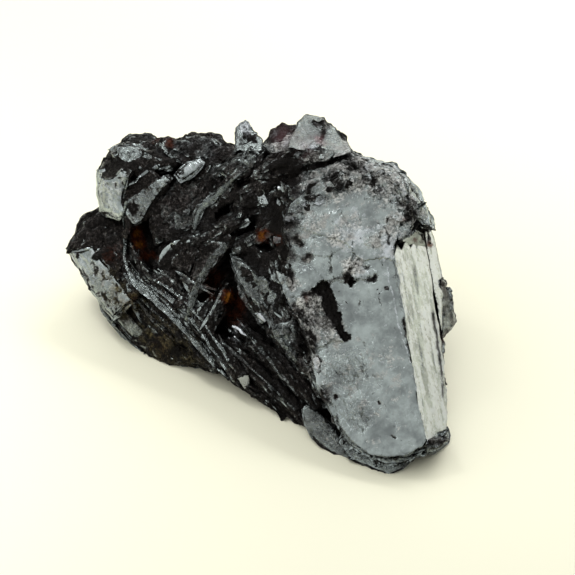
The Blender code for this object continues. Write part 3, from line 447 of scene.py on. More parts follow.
PIECES = {
    # plate: style, plane, thickness, shine, outline
    "left_leaves": {
        "leaf_face": (
            LEAF, (3.2, 0.3, -0.5), 2.0, 0.12,
            "-19.1,4 -18.6,5 -18,5.8 -17.7,6.7 -16.8,7.1 -15.9,7.8 -14,7.2 -12.5,5.5 -12,2.8 -11.8,0 "
            "-12.6,-1 -13.6,-0.3 -15.5,2.2 -16.8,4.1 -17.8,4.1",
        ),
        "leaf_bevel": (
            BRIGHT, (11.85, 0.9, -0.07), 2.0, 1.0,
            "-19.1,3.9 -16.8,4.2 -15.5,2.3 -13.6,-0.2 -13,-1 -14.2,-2.1 -14.8,-2.6 -16,-1.1 -17.2,0.6 "
            "-18.2,2.2",
        ),
        "foot": (
            LEAF, FOOT, 2.0, 0.2,
            "-13,-1 -10,-2.5 -8,-3.8 -6,-5 -4.8,-6.5 -5.2,-7.8 -6.5,-7.4 -9,-7.6 -10.3,-7.1 -11.5,-6.2 "
            "-13,-4.6 -14.8,-2.6 -13.8,-1.8",
        ),
        "fan_outer": (
            FAN, raised(LEFT, -0.6), 2.0, 0.2,
            "-13.4,3.8 -13.5,2.8 -13,1.5 -12,0 -10.5,-2.2 -9,-3.9 -7.5,-5.4 -6,-6.9 -5,-7.8 -4,-7.9 "
            "-4.5,-6.5 -6,-4.8 -8,-2.8 -10,-0.8 -11.6,0.9 -12.6,2.4",
        ),
        "fan_middle": (
            FAN, LEFT, 2.0, 0.3,
            "-12.9,4.6 -12.7,3 -12,1.6 -10.8,0.2 -9.2,-1.6 -7.6,-3.2 -6,-4.6 -4.8,-6 -3.6,-7.6 -2.8,-9 "
            "-2.2,-9.4 -2,-8.6 -2.8,-7.2 -4,-5.4 -5.4,-4 -6.8,-2.4 -8.2,-0.8 -9.8,0.8 -11.2,2 -12.2,3.4",
        ),
        "fan_inner": (
            FAN, raised(LEFT, 0.5), 2.0, 0.25,
            "-11,1.2 -10,0.6 -8.8,0 -7.6,-1.4 -6.6,-2.8 -5.6,-3.8 -4.6,-4.4 -4.8,-3.4 -5.4,-2.4 "
            "-6.8,-0.8 -7.2,0.6 -8.6,1.6 -9.8,2",
        ),
        "shoulder_face": (
            BRIGHT, (7.85, 0.8, 0.1), 2.0, 1.0,
            "-15.9,10 -15.7,11 -14.8,11.2 -14,12 -13.2,11.5 -13.6,10.2 -13.8,9 -13.6,7.8 -14.2,7.3 "
            "-15,7.8 -15.9,8.2",
        ),
        "shoulder_rim": (
            BRIGHT, (8.4, 0.85, 0.0), 1.8, 1.0,
            "-16.4,12 -15.6,12.3 -15,11 -15.4,9.5 -15.7,8.2 -16.1,8.6 -16.2,10",
        ),
        "black_step": (
            STEP, raised(LEFT, 0.5), 2.2, 0.12,
            "-13.8,10.1 -12.9,10.6 -11.9,11.4 -11.1,12 -10.5,11.7 -10.2,11.1 -10.9,10.5 -11.8,9.8 "
            "-12.8,9 -13.4,9.1",
        ),
    },
    "back_leaves": {
        "brown_slab": (
            LEAF, (6.9, 0.2, -0.6), 1.8, 0.5,
            "-14.8,13.9 -14,14.4 -13,14.3 -12,13.9 -10.8,13.4 -9.7,13 -8.6,12.5 -9,12 -10.2,12 "
            "-11.2,12.1 -12.2,12.2 -13.2,12.7 -14.3,13.3",
        ),
        "back_ledge_left": (
            LEAF, (9.4, 0.2, -0.95), 1.8, 0.15,
            "-15.5,13.2 -14.8,14.2 -13,15.2 -12,15.4 -10.5,15 -9.8,14 -12,13.4 -14,13",
        ),
        "back_ledge_right": (
            LEAF, (8.9, 0.2, -0.8), 2.0, 0.2,
            "-10.2,15 -9.5,15.2 -8,14.9 -6.5,15.5 -4.8,15.2 -3.8,14.3 -2,14.2 -2.4,13 -4.5,12.6 -6,12.3 "
            "-7.5,12.5 -9,13.4 -10.2,14",
        ),
        "grey_band": (
            BAND, raised(LEFT, 0.6), 2.2, 0.62,
            "-13.3,8.9 -12.7,9.5 -11.7,10 -11,10.6 -10.3,11.1 -9.4,11.3 -9,10.9 -9.7,10.2 -10.4,9.4 "
            "-10.9,8.5 -11.4,7.7 -11.9,6.9 -12.4,6.6 -13,6.8 -13.4,7.5",
        ),
        "dark_leaf": (
            LEAF, (3.8, 0.2, -0.4), 2.0, 0.24,
            "-9.2,11 -7.5,11.5 -6,12.4 -4.5,12.7 -2.5,13.2 -1,13.5 -2,12.5 -3.2,11 -4.5,9.5 -5.7,8.5 "
            "-6.1,7.5 -6.3,6.1 -7.5,5.7 -9,5 -10.2,5 -10.7,6.5 -10.8,8 -10,9.4",
        ),
        "glint_leaf": (
            BRIGHT, raised(LEFT, 0.55), 1.6, 1.0,
            "-8.4,11.6 -7.9,12.2 -7.2,12.6 -6.3,12.9 -5.9,12.6 -6.3,12 -7.1,11.4 -7.8,11",
        ),
    },
    "upper_leaves": {
        "serrated_leaf": (
            LEAF, raised(LEFT, 0.3), 2.0, 0.5,
            "-6.3,8.4 -5.3,9.1 -4.3,9.8 -3.6,10.6 -2.9,11.2 -2.3,11.1 -2.5,10.2 -3.2,9.3 -4.2,8.5 "
            "-5.2,7.8 -5.7,6.8 -6,5.8 -6.6,5.4 -6.8,6.4 -6.7,7.6",
        ),
        "glitter_ledge": (
            LEAF, raised(LEFT, 0.9), 2.0, 0.3,
            "-8,5.2 -6.5,5.5 -5,6.2 -3.5,7.2 -2,7.8 -1,8.2 -1.5,6.8 -2.8,5.8 -4.5,5 -6.2,4.4 -7.2,4.3",
        ),
        "black_leaf": (
            LEAF, raised(LEFT, 0.7), 2.0, 0.15,
            "-2.2,9.2 -1.5,10.2 -0.8,10.8 0.2,11 1.5,11.2 2.5,11.8 2.3,10.5 1.2,9.5 0.8,8.2 0.2,7.5 "
            "-1,7.2 -2,7.5 -2.4,8.3",
        ),
        "upper_leaf": (
            LEAF, raised(LEFT, 0.6), 2.0, 0.35,
            "-3.8,12 -2.5,13 -1.2,13.8 -0.4,13.2 -0.8,12.2 -2,11.2 -2.8,11",
        ),
        "long_leaf": (
            LEAF, raised(LEFT, 1.1), 2.2, 0.3,
            "-0.8,11.2 0.2,12.5 2,13.5 4,14 6.2,14 7,13.3 6.2,12.7 4.5,12.2 3,11.8 1.8,11.2 0.2,11",
        ),
        "ledge_above_valley": (
            BLADE, (4.6, 0.5, -0.2), 1.6, 0.3,
            "-3,4.6 -1.2,5.6 0.4,6.4 1.8,7.2 2.6,6.6 1.4,5.4 -0.2,4.6 -1.8,3.8 -2.8,3.4",
        ),
    },
    "middle_leaves": {
        "lower_leaf": (
            LEAF, raised(LEFT, 0.4), 2.0, 0.12,
            "-10.2,2.8 -9.5,3.8 -8.8,4.5 -7.8,5.2 -6.5,5 -5.7,4.5 -6,3.4 -6.7,2.2 -7.1,1 -7.3,-0.7 "
            "-8,-0.2 -9,0.7 -10,1.5",
        ),
        "twin_leaf": (
            LEAF, raised(LEFT, 0.9), 2.0, 0.18,
            "-7,1.5 -6,3.5 -4.8,4.7 -3.2,5.9 -2.8,5.2 -3.5,3.8 -4.2,2.8 -5.2,2 -6,0.5 -6.2,-1.3 -7,-1 "
            "-7.3,0",
        ),
        "blade_leaf": (
            BLADE, raised(LEFT, 1.0), 2.0, 0.15,
            "-6.4,-1.8 -5.3,-1.5 -4.4,-0.7 -3.5,0.1 -3.2,-0.5 -3.8,-1.8 -4.5,-3.5 -5,-4 -6,-4 -6.6,-3",
        ),
        "slope_patch": (
            CRUSTY, (5.6, 0.5, -0.12), 1.8, 0.45,
            "-2.2,2.8 -1,2.2 0.2,1.5 1.5,0 2.2,-1.5 1,-2.8 0.2,-3.2 -0.5,-2 -1.4,-0.5 -2,1",
        ),
        "ledge_blade": (
            BLADE, raised(LEFT, 0.6), 1.8, 0.08,
            "-5.8,-1.7 -4.2,-0.8 -3.2,0.4 -3.6,-0.6 -4.6,-2 -5,-3.4 -4,-5 -2.6,-6.4 -1.2,-8.4 -2,-8.8 "
            "-3.4,-7.2 -5,-5.4 -6.2,-3.6",
        ),
        "valley_blade_upper": (
            BLADE, raised(LEFT, -0.4), 1.6, 0.15,
            "-3.6,-4.8 -2.6,-4.6 -0.6,-6.2 0.8,-7.8 0.2,-8.4 -1.6,-6.8 -3.2,-5.6",
        ),
        "valley_blade_lower": (
            BLADE, raised(LEFT, 0.4), 1.8, 0.14,
            "-2.8,-3.2 -1.4,-3.4 0.6,-5.2 2,-6.8 1.4,-7.4 -0.4,-5.8 -2.4,-4.2",
        ),
    },
    "front_blades": {
        "flank_rough": (
            CRUSTY, raised(BLOCK, -1.6), 2.0, 0.5,
            "0.5,-2.2 1.2,-1 3,-0.7 4.5,0.2 6.2,0.2 7,-1 8.5,-4 7.5,-5.2 6.2,-5.5 5.6,-7.2 5.4,-8.8 "
            "4.5,-8.2 3.5,-7 2,-5.5 1,-4",
        ),
        "streak_upper": (
            BLADE, raised(BLOCK, -2.6), 2.0, 0.12,
            "-1.5,-5.5 0.2,-5 2,-6.2 4,-8.2 5.5,-10.2 6.5,-11.5 5.5,-12 4,-10.5 2.5,-9 0.5,-7.2",
        ),
        "streak_lower": (
            BLADE, raised(BLOCK, -3.6), 2.0, 0.08,
            "-3.5,-5 -2,-5.5 0.2,-7.5 2.5,-9.5 4.5,-11.5 5.5,-13 4.5,-13.5 3,-12 0.5,-10 -2,-7.5",
        ),
        "foot_strip": (
            BLADE, raised(BLOCK, -4.6), 2.0, 0.06,
            "-2.8,-9 -1.5,-8.8 0,-9.8 2.5,-11.3 4.5,-13.3 5.8,-15 6.5,-16 4.5,-14.2 3,-12.7 1,-11.5 "
            "-1,-10 -2,-9.5",
        ),
    },
    "block_face": {
        "front_sheet": (
            POLISHED, raised(BLOCK, 0.42), 1.8, 0.95,
            "2.3,6.2 3,6.8 4,7.6 5.8,9 8,9.8 9.8,10.4 12,10 13.4,8.5 13.9,6.8 13.7,5.4 13.3,4.4 13.48,3 "
            "13.7,1.5 13.93,0 14.32,-2.5 14.7,-5 15.1,-7.5 15.48,-10 15.87,-12.5 16.4,-14.8 16,-15.4 "
            "14.5,-16.2 12.5,-16.5 11,-16.2 9.7,-15.3 8.5,-14.2 7.5,-12.8 6.5,-11.2 5.7,-9.8 5.3,-8 "
            "5,-6.2 4.5,-4.5 3.8,-2.8 3,-1.3 2.3,0 2.2,1.5 2.5,2.8 2.8,4 2.4,5.2",
        ),
        "flank": (
            FLANK, (40.47, -2.1, -0.654), 3.0, 1.05,
            "13.3,3.5 13.6,4.5 14,3.9 14.5,4.9 15,4.2 15.5,5.4 16.2,4.9 16.55,4.2 16.95,2 17.35,-0.8 "
            "17.7,-3 18,-5 18.35,-8 18.55,-11 18.55,-13.4 18.1,-14.6 17.2,-15.2 16.3,-15.2 15.77,-12.5 "
            "15.38,-10 14.99,-7.5 14.61,-5 14.22,-2.5 13.83,0 13.6,1.5 13.37,3",
        ),
        "flank_edge": (
            FLANK, (40.25, -2.1, -0.654), 3.0, 1.05,
            "16.4,6.3 17,6.1 17.4,5 17.9,2.8 18.2,0.5 18.3,-1.5 18.1,-4 17.8,-2.7 17.5,-0.7 17.1,1.8 "
            "16.7,4.3",
        ),
    },
    "block_sheets": {
        "cap_left": (
            CAP, raised(BLOCK, 0.5), 1.4, 0.95,
            "2.7,6.9 3.2,8.4 4.2,9.6 5.6,10.6 7,11 7.8,10.2 7.4,9 6.2,8.8 5.6,7.9 4.4,7.2 3.6,6.4",
        ),
        "cap_middle": (
            CAP, raised(BLOCK, 0.55), 1.6, 0.95,
            "6.6,9.2 7.2,10.8 8.6,11.6 10.2,11.4 11.8,11.4 13.2,10.4 13.6,9 12.4,8.2 11,8.6 10.2,9.4 "
            "9,8.6 7.8,8.8",
        ),
        "cap_right": (
            CAP, (14.2, -0.2, -0.35), 1.6, 0.95,
            "12.2,9.8 13.8,9.6 15,8 15.3,6.4 14.8,5.2 13.7,4.7 13.2,5.8 13,7.2 12.2,8.2",
        ),
        "flank_top": (
            CAP, (25.2, -1.6, 1.0), 1.6, 0.95,
            "13.4,4.2 13.5,5.4 14.2,6 15,5.4 15.4,6 16.2,5.6 16.7,4.3 15.8,4 14.4,4.1",
        ),
        "lip_upper": (
            LIP, raised(BLOCK, -0.7), 1.8, 0.65,
            "8.2,-14 9.2,-15.4 10.6,-16.4 12.5,-17 14,-16.8 15.5,-16.1 16.8,-15.5 16.5,-14.8 14,-13 "
            "10,-12",
        ),
        "lip_right": (
            LIP, (20.75, -0.9, -0.5), 1.6, 0.65,
            "16.3,-14.8 17,-14.4 17.8,-14.1 18.3,-13.9 18.6,-14.5 18.4,-15.1 17.8,-15.6 17.1,-16 "
            "16.4,-16",
        ),
        "lip_lower": (
            LIP, raised(BLOCK, -1.4), 2.0, 0.65,
            "8,-15 8.6,-16.4 11,-17.5 12.7,-18.1 14,-17.5 15,-16.6 16,-15 12,-13 9,-13",
        ),
        "stepped_sheet": (
            LIP, raised(BLOCK, -2.2), 2.0, 0.55,
            "4.3,-12 4.8,-11.6 5.7,-12.1 6.7,-13.1 7.8,-14.3 8.7,-15.5 9.7,-16.5 9,-16.8 7.7,-16.3 "
            "6.5,-15.7 5.4,-14.7 4.6,-13.4",
        ),
        "top_back": (
            CRUSTY, (15.2, 0.1, -1.1), 2.0, 0.7,
            "8.5,14 10.5,13 13,12.3 14.3,11.3 14,10 11.5,10 9.5,10.5 8.5,11.5 7.5,12.5",
        ),
        "top_left": (
            CRUSTY, (10.8, 0.3, -0.71), 2.0, 0.7,
            "2.2,9.4 2.6,10.6 3.6,11.6 5,12.2 6.6,12.6 8.2,12.4 9.2,11.2 9,10 7,9.6 5.2,9.2 3.6,8.4",
        ),
        "top_right": (
            CRUSTY, (19.95, -0.75, -0.6), 2.0, 0.7,
            "11.5,10 14,10 14.3,11.3 15.7,9.5 17,7.2 17.2,6.2 16,6.5 14.5,7.5 13,8.5 11.8,9",
        ),
    },
}
FITTED = {
    # plates that lie on whatever is below them: style, thickness, shine, outline
    "bevel_low": (
        BRIGHT, 0.6, 0.6,
        "-14.9,-2.3 -13.7,-1.7 -12.7,-3 -11.4,-4.6 -10.8,-5.6 -11.6,-6 -13.1,-4.5 -14.3,-3.2",
    ),
    "cheek": (
        CRUSTY, 1.0, 0.6,
        "18.1,1.2 18.7,0.5 19.2,-0.8 19.6,-2.4 19.4,-3.4 18.9,-4.2 18.3,-4.7 18.1,-3 17.9,-1",
    ),
    "glint_block": (GLINT, 0.3, 1.2, "5.3,-6.8 5.7,-6.7 5.95,-7.3 5.8,-7.9 5.4,-7.7"),
    "glint_valley": (GLINT, 0.4, 1.1, "-0.3,-2.1 0.2,-2.2 0.8,-3 0.5,-3.3 -0.1,-2.7"),
    "glint_long": (GLINT, 0.4, 0.9, "-2.8,-3.5 -2.4,-3.5 -0.9,-4.6 -1,-4.9 -2,-4.3"),
    "glint_foot": (GLINT, 0.9, 0.8, "-2.2,-8.8 -1.6,-8.4 -1,-8.3 -0.9,-9 -1.1,-9.6 -1.5,-9.8 -1.9,-9.3"),
    "shoulder_back": (LEAF, 1.5, 0.15, "-16.2,12 -15.6,13 -14,12.9 -12.6,12 -13,11 -14.5,11.2 -15.6,11"),
    "peak_face": (
        PEAK, 0.8, 0.68,
        "2.7,14 3.1,15.6 3.7,16.8 4.6,17.5 5.6,17.6 6.4,17.3 6.7,16.7 7.6,16.3 8.3,15.3 8.8,14.7 9,13.8 "
        "8,13.2 6.2,13.2 4.5,13.8",
    ),
    "peak_left": (
        CRUSTY, 0.6, 0.8,
        "0.2,14.4 0.8,15.3 1.8,15.9 2.8,16 3.4,15.2 4.2,14.6 4,13.8 2.6,13.5 1.2,13.6",
    ),
    "knob_face": (
        PEAK, 1.4, 0.75,
        "-2.2,14 -2.3,15 -2.2,16.2 -1.8,16.7 -1.5,17 -1.2,16.5 -0.9,16.1 -0.2,15.8 0.2,15.1 0.3,14 "
        "-1,13.6",
    ),
}
RIBBONS = {
    # long thin sheets seen edge on: how far proud, shine, "u,v,width ..."
    "rim_upper": (
        0.25, 0.7,
        "-13.2,9,0.5 -13.75,7.5,0.4 -13.6,6,0.35 -13.45,4.5,0.35 -13.6,3.4,0.4 -13.3,2.2,0.5 "
        "-12.6,0.9,0.8 -11.6,0,1.1 -10.2,-1,1 -8.4,-2.8,0.8 -6.8,-4.8,0.7 -5,-6.8,0.6 -2.8,-9.1,0.5",
    ),
    "rim_inner": (
        0.2, 0.6,
        "-11.2,0.6,0.3 -9.6,-0.3,0.7 -7.9,-1.7,0.6 -6.3,-3.5,0.5 -4.7,-5.7,0.5 -3.2,-8,0.4",
    ),
    "rim_outer": (
        0.2, 0.35,
        "-13,0.2,0.3 -12.2,-1,0.4 -10.8,-2.8,0.5 -8.8,-4.6,0.5 -6.6,-6.5,0.4 -5,-7.6,0.3",
    ),
    "fan_line_1": (
        0.15, 0.6,
        "-12.9,2.6,0.3 -12,1.1,0.4 -10.4,-0.2,0.4 -8.6,-2,0.4 -6.9,-4,0.35 -5,-6.2,0.35 -3.4,-8.3,0.3",
    ),
    "fan_line_2": (
        0.15, 0.4,
        "-13.7,1.8,0.25 -12.6,0.1,0.3 -11,-1.7,0.35 -9.2,-3.4,0.35 -7,-5.4,0.3 -5.6,-7,0.25",
    ),
    "fan_line_3": (
        0.15, 0.6,
        "-10.4,0.9,0.2 -9,0.2,0.35 -7.4,-1.2,0.4 -5.9,-2.8,0.35 -4.4,-5,0.3 -3,-7.2,0.25",
    ),
    "fan_line_4": (0.12, 0.35, "-12.4,-0.4,0.2 -10.6,-2,0.3 -8.4,-4,0.3 -6.4,-5.8,0.25"),
    "fringe_outer": (
        0.1, 0.9,
        "-16.1,-1.3,.15 -15.4,-2.3,.25 -14.2,-3.9,.25 -12.8,-5.3,.25 -11.4,-6.5,.15",
    ),
    "fringe_inner": (0.15, 0.8, "-15.6,-1.4,.12 -14.7,-2.7,.2 -13.4,-4.2,.22 -12.1,-5.5,.15"),
    "olive_band": (0.15, 0.7, "-13.4,0.9,.3 -13,-0.1,.5 -12.7,-1.2,.6 -12.3,-2.3,.5 -11.7,-3.5,.4"),
    "crumbs": (0.2, 1.0, "-10.2,2.6,.2 -9.9,3.4,.4 -9.4,4.1,.4 -8.7,4.6,.45 -7.9,4.8,.4 -6.8,4.9,.2"),
    "thin_line": (0.25, 0.7, "-6.3,-2.2,.2 -5.4,-1.3,.25 -4.4,-0.1,.22 -3.4,1.3,.2 -2.6,2.6,.15"),
    "twin_ridge": (
        0.25, 0.55,
        "-1.9,5.4,0.4 -3.4,4.4,0.7 -4.8,3,0.8 -5.9,1.2,0.7 -6.6,-0.6,0.7 -7,-2.2,0.6 -7.5,-3.2,0.4",
    ),
    "serrated_rim": (
        0.25, 0.75,
        "-2.5,11.2,0.3 -3.6,10,0.5 -4.8,9.1,0.6 -5.8,8.2,0.5 -6.3,7,0.4 -6.5,5.8,0.3",
    ),
    "second_ridge": (
        0.2, 0.55,
        "-2.9,3.8,0.4 -2.3,2.4,0.9 -1.3,1,1.3 -0.4,-0.6,1.1 0.7,-2.2,0.8 1.6,-4,0.5",
    ),
    "cross_blade": (0.2, 0.6, "-6.3,-4.4,0.3 -5,-2.4,0.35 -4.1,-0.8,0.3 -3.5,0.3,0.2"),
    "glint_blade": (0.3, 1.0, "-3.6,-3.4,0.2 -2.7,-4.3,0.32 -1.6,-5.4,0.2"),
    "low_blade": (0.2, 0.4, "-2.6,-2.4,0.2 -1.4,-4,0.3 0.2,-6,0.35 2.2,-8.4,0.3 4,-10.6,0.2"),
    "lower_blade": (0.2, 0.35, "-4,-5,0.2 -2.4,-6.4,0.3 -0.6,-8,0.35 1.6,-10,0.3 3.6,-12,0.2"),
    "back_streak": (0.15, 0.6, "-10.2,15,0.3 -9.4,14,0.6 -8.6,13.1,0.5 -7.6,12.5,0.3"),
    "step_rim": (0.2, 1.0, "-13.9,10.1,0.2 -12.9,10.6,0.25 -11.9,11.4,0.22 -11.1,12.1,0.15"),
    "slab_rim": (0.15, 0.7, "-14.7,13.4,0.2 -13.4,14.2,0.35 -11.8,13.8,0.35 -10,13,0.3 -8.4,12.4,0.2"),
    "leaf_rim": (0.15, 0.9, "-19,3.9,0.3 -17.4,4.2,0.35 -16.6,4,0.3"),
    "valley_left": (0.2, 0.5, "-0.6,6.6,0.3 0.6,5.8,0.5 1.6,4.6,0.5 2,3,0.4 1.8,1.4,0.3"),
}
SHARDS = (
    # region, how many, plane, heading, length, width, tilt, changes to SHARD
    (
        "-8,13 -3,14 4,12.6 3,9.5 -2,7 -6,8",
        14, LEFT, 38.0, (1.4, 4.0), (0.5, 1.3), CLOSE, {"shine": 0.25},
    ),
    (
        "-9,4 -6,6 -1,8 2,6.5 0,2 -3,1 -6.5,-2 -9.5,1.5",
        12, LEFT, 30.0, (1.2, 3.0), (0.4, 1.0), CLOSE, {"shine": 0.25},
    ),
    (
        "-13,2 -9.5,3 -5,0 -3,-4 -2,-8.5 -4.5,-7.6 -9,-3.5",
        12, LEFT, -48.0, (2.0, 5.0), (0.25, 0.6), CLOSE, {"shine": 0.5},
    ),
    (
        "-3,-3 -1,-1 1,0.5 3.5,-1 6,-5 6.5,-11 4,-12.5 -1,-9 -3,-8",
        20, LEFT, -52.0, (1.6, 4.2), (0.2, 0.6), CLOSE, {"shine": 0.2},
    ),
    (
        "-13,-1 -6,-5 -4.6,-7 -10,-7.2 -14.4,-2.6",
        12, FOOT, -45.0, (1.0, 2.6), (0.3, 0.8), CLOSE, {"shine": 0.3},
    ),
    (
        "1,4 3,7.5 4,10 9,12.5 13,11.5 15.5,9 16.6,6 14.5,5 13.6,8 11,9.8 8,9.6 5,8.4",
        62, BLOCK, 20.0, (0.6, 1.9), (0.4, 1.1), LOOSE, {"shine": 0.75, "pale_and_highlight": 0.2, "rough": 0.6},
    ),
    (
        "2.4,15 5,14.4 8,14.4 9.5,13 6,11.6 3,12.6",
        16, BLOCK, 20.0, (0.6, 1.7), (0.4, 1.0), LOOSE, {"shine": 0.8, "pale_and_highlight": 0.35, "rough": 0.6},
    ),
    (
        "1.5,6 2.8,6.6 3.4,4 2.8,1.4 3.6,-1.4 5.4,-5.6 6.4,-9.8 8,-13.4 7,-13.6 5,-10 4,-6 2.2,-2.4 1,1",
        34, BLOCK, -65.0, (0.8, 2.4), (0.3, 0.8), CLOSE, {"shine": 0.5},
    ),
    (
        "0.4,11.4 2.6,11.6 3.3,9.6 3,7.2 2,5.6 0.8,7.4 0,9.4",
        20, VALLEY, -70.0, (0.7, 2.4), (0.4, 0.9), LOOSE, {"rough": 0.6},
    ),
    (
        "-0.2,5.2 2,4.8 2.8,2.8 2.2,0.6 0.6,1.6 -0.2,3.4",
        12, VALLEY, -60.0, (0.8, 2.2), (0.3, 0.7), CLOSE, {"shine": 0.15, "rough": 0.6},
    ),
    (
        "8,-14.6 12,-16.8 16,-15.8 18,-14.2 18.4,-15 14,-17.6 9,-16.6",
        16, BLOCK, 10.0, (0.8, 2.2), (0.25, 0.5), CLOSE, {"shine": 0.65},
    ),
)
# rust and tints, with painted shade under shade and painted highlight under pale_and_highlight
STAINS_AND_PAINTED_LIGHT = {
    # "u,v,reach,amount ..."
    "rust": (
        "-3.1,-0.7,1,0.8 -2.2,-1.4,1.2,0.5 -4.6,1.2,1.6,0.42 -5,-0.6,0.9,0.42 -2.6,-2.6,1.6,0.42 "
        "0.2,5.3,0.9,0.65 1.6,5,0.7,0.45 -12.3,5.8,0.8,0.8 -12.2,4.6,0.8,0.75 -11.6,3.6,0.7,0.6 "
        "-10.6,3.4,0.5,0.55 -14.8,3.4,1.6,0.34 -13,-1,1.2,0.35 -10,-5.5,2.4,0.25 -9.2,14.9,0.9,0.5 "
        "-10.4,15,0.7,0.4 14.3,7,0.5,0.45 15.3,5,0.4,0.5 16.9,4.6,0.4,0.6 18.2,-5,1,0.3 "
        "4.8,-0.8,0.7,0.45 -6,9,5,0.1"
    ),
    # whitened clouds, and painted highlights on the glints
    "pale_and_highlight": (
        "9.5,5.5,3,0.6 13,4.5,2,0.8 10,2,1,0.8 11,12,4,0.4 17.5,-6,3,0.3 17.8,-14.3,1,0.6 5,16,1.5,0.2 "
        "2,15,1.4,0.7 4.6,14.2,1,0.6 -2.4,-4.3,1,1 -1.5,-8.9,0.8,0.9 -1.5,16.4,0.8,0.9"
    ),
    "mottle": (
        "5,6.5,2.4,0.6 8.5,6,2.6,0.55 11.5,5,1.8,0.6 9.3,2.3,1.1,1 3.2,0.6,1,0.8 5,-1.4,1.7,1 "
        "6,-3.6,1.9,1 7.4,-5,1.2,0.7 5.6,-7.4,1.4,0.6 11,-9,4.5,0.35 13.5,6.5,1.5,0.8 9,12,3.5,0.8 "
        "12.5,10.5,2.5,0.8 14.5,8,2,0.8 5,11,2,0.6 1.8,14.6,1.2,0.8 5.2,13,1.2,0.8"
    ),
    "shade": (
        "2.8,8.6,1.2,0.5 2.6,6.6,1,0.7 2.7,5,1,0.7 2.8,3.4,0.8,0.6 3,1.6,0.6,0.5 5.6,-1.6,1.3,0.5 "
        "5.2,-3,1.3,0.6 6.4,-3.4,1.1,0.5 4.6,-5,1.2,0.6 6.8,-4.9,0.8,0.3 14.2,8.4,0.6,0.8 15,7.4,0.7,1 "
        "15.6,6.3,0.5,0.9 16.2,5.3,0.35,0.9 13.7,4.7,0.5,0.8 3.4,8.2,1.2,0.5 3,6.6,1.2,0.8 "
        "3.2,9.6,1.2,0.6 4.4,9.6,1,0.5 6.5,9.9,1.2,0.4 8.5,9.9,0.9,0.3 6.6,-3,1,0.7 6.1,-0.3,0.7,0.7 "
        "6.6,-1.6,0.8,0.7 7.2,-3.4,0.7,0.7 8.5,-8,2.6,0.28 9.5,-12,2.2,0.25 6.4,-10.4,1,0.6 "
        "13.5,2.6,0.4,0.4 13.6,1.2,0.4,0.4 13.8,-0.6,0.35,0.35 14.3,-3.4,0.3,0.3 18.3,0.4,0.4,0.5 "
        "18.7,-4.5,0.4,0.6 18.8,-8.5,0.4,0.5 -12.6,7.4,0.9,0.2 -14.9,-0.6,1.1,0.35 -16.4,0.8,0.9,0.25 "
        "-14.2,-1.6,0.8,0.3 -13.6,-2.6,0.7,0.6 -8,-5.6,1.2,0.5 -6.4,-6.6,1,0.4 7.4,10.9,1,0.6 "
        "5.2,10.2,0.8,0.6 3.4,10.6,1,0.7 2.4,12.6,1.2,0.5 9.2,12.2,0.5,0.6 11.4,11,0.5,0.6"
    ),
    "pink": "2.4,15.4,1,0.4 4.4,14.4,0.9,0.35 5.9,15,0.5,0.8",
    "olive": (
        "-10.5,-4.8,2.2,0.7 -7.5,-6.4,1.8,0.5 -12.8,-1.4,1.3,0.9 -14.6,-0.6,1.3,0.55 -13.8,-1.8,1,0.7 "
        "-15.2,1.4,0.9,0.6 -14.2,0,1,0.8"
    ),
}
LINES = {
    # stain, painted highlight and painted shade along a line: line, half width, amount
    "pale_and_highlight": (
        # painted highlight along the ridge
        ("12.6,2.2 12.9,0.4 13.3,-1.6 13.8,-3.8 14.5,-5.9 15,-7.4", 0.09, 0.8),
        ("14.9,-7.2 15.2,-9 15.7,-11.4", 0.06, 0.8),
    ),
    "shade": (
        ("17.2,-2.4 17.5,-4.4 17.8,-6.4 18,-8.2", 0.16, 1.0),
        ("18,-8 18.2,-10.6", 0.1, 0.8),
        ("13.4,3.4 13.5,1.8 13.7,0 14,-2.2", 0.12, 0.3),
    ),
}


# ------------------------------------------------------------------ plates made of pages
def mark(flat, height, glow):
    """Steps, holes and cracks cut in the smooth block's face."""
    p = flat3(flat[:, 0], flat[:, 1])
    bend = flat + np.column_stack(
        [
            fbm(p * 0.9, 5, 81, 0.6) * 0.4 + fbm(p * 2.6, 3, 87) * 0.22,
            fbm(p * 0.9 + 30.0, 5, 83, 0.6) * 0.4 + fbm(p * 2.6 + 60.0, 3, 88) * 0.22,
        ]
    )
    gate = fbm(p * 0.8, 3, 85)
    for text, lift, dark in STEPS:
        gap = depth_in(bend, drawn(text))
        height = height + lift * smooth(-0.07, 0.07, gap)
        glow = glow - dark * np.exp(-(((gap + 0.06) / 0.1) ** 2)) * smooth(-0.35, 0.15, gate)
    for text in HOLES:
        into = smooth(-0.05, 0.14, depth_in(bend, drawn(text)) + fbm(p * 3.2, 3, 92) * 0.18)
        height = height - 0.4 * into
        glow = glow - 1.3 * into
    for text, width, deep, dark in CRACKS:
        dip = np.exp(-((distance(bend, drawn(text)) / width) ** 2))
        height = height - deep * dip
        glow = glow - dark * dip
    return height, glow


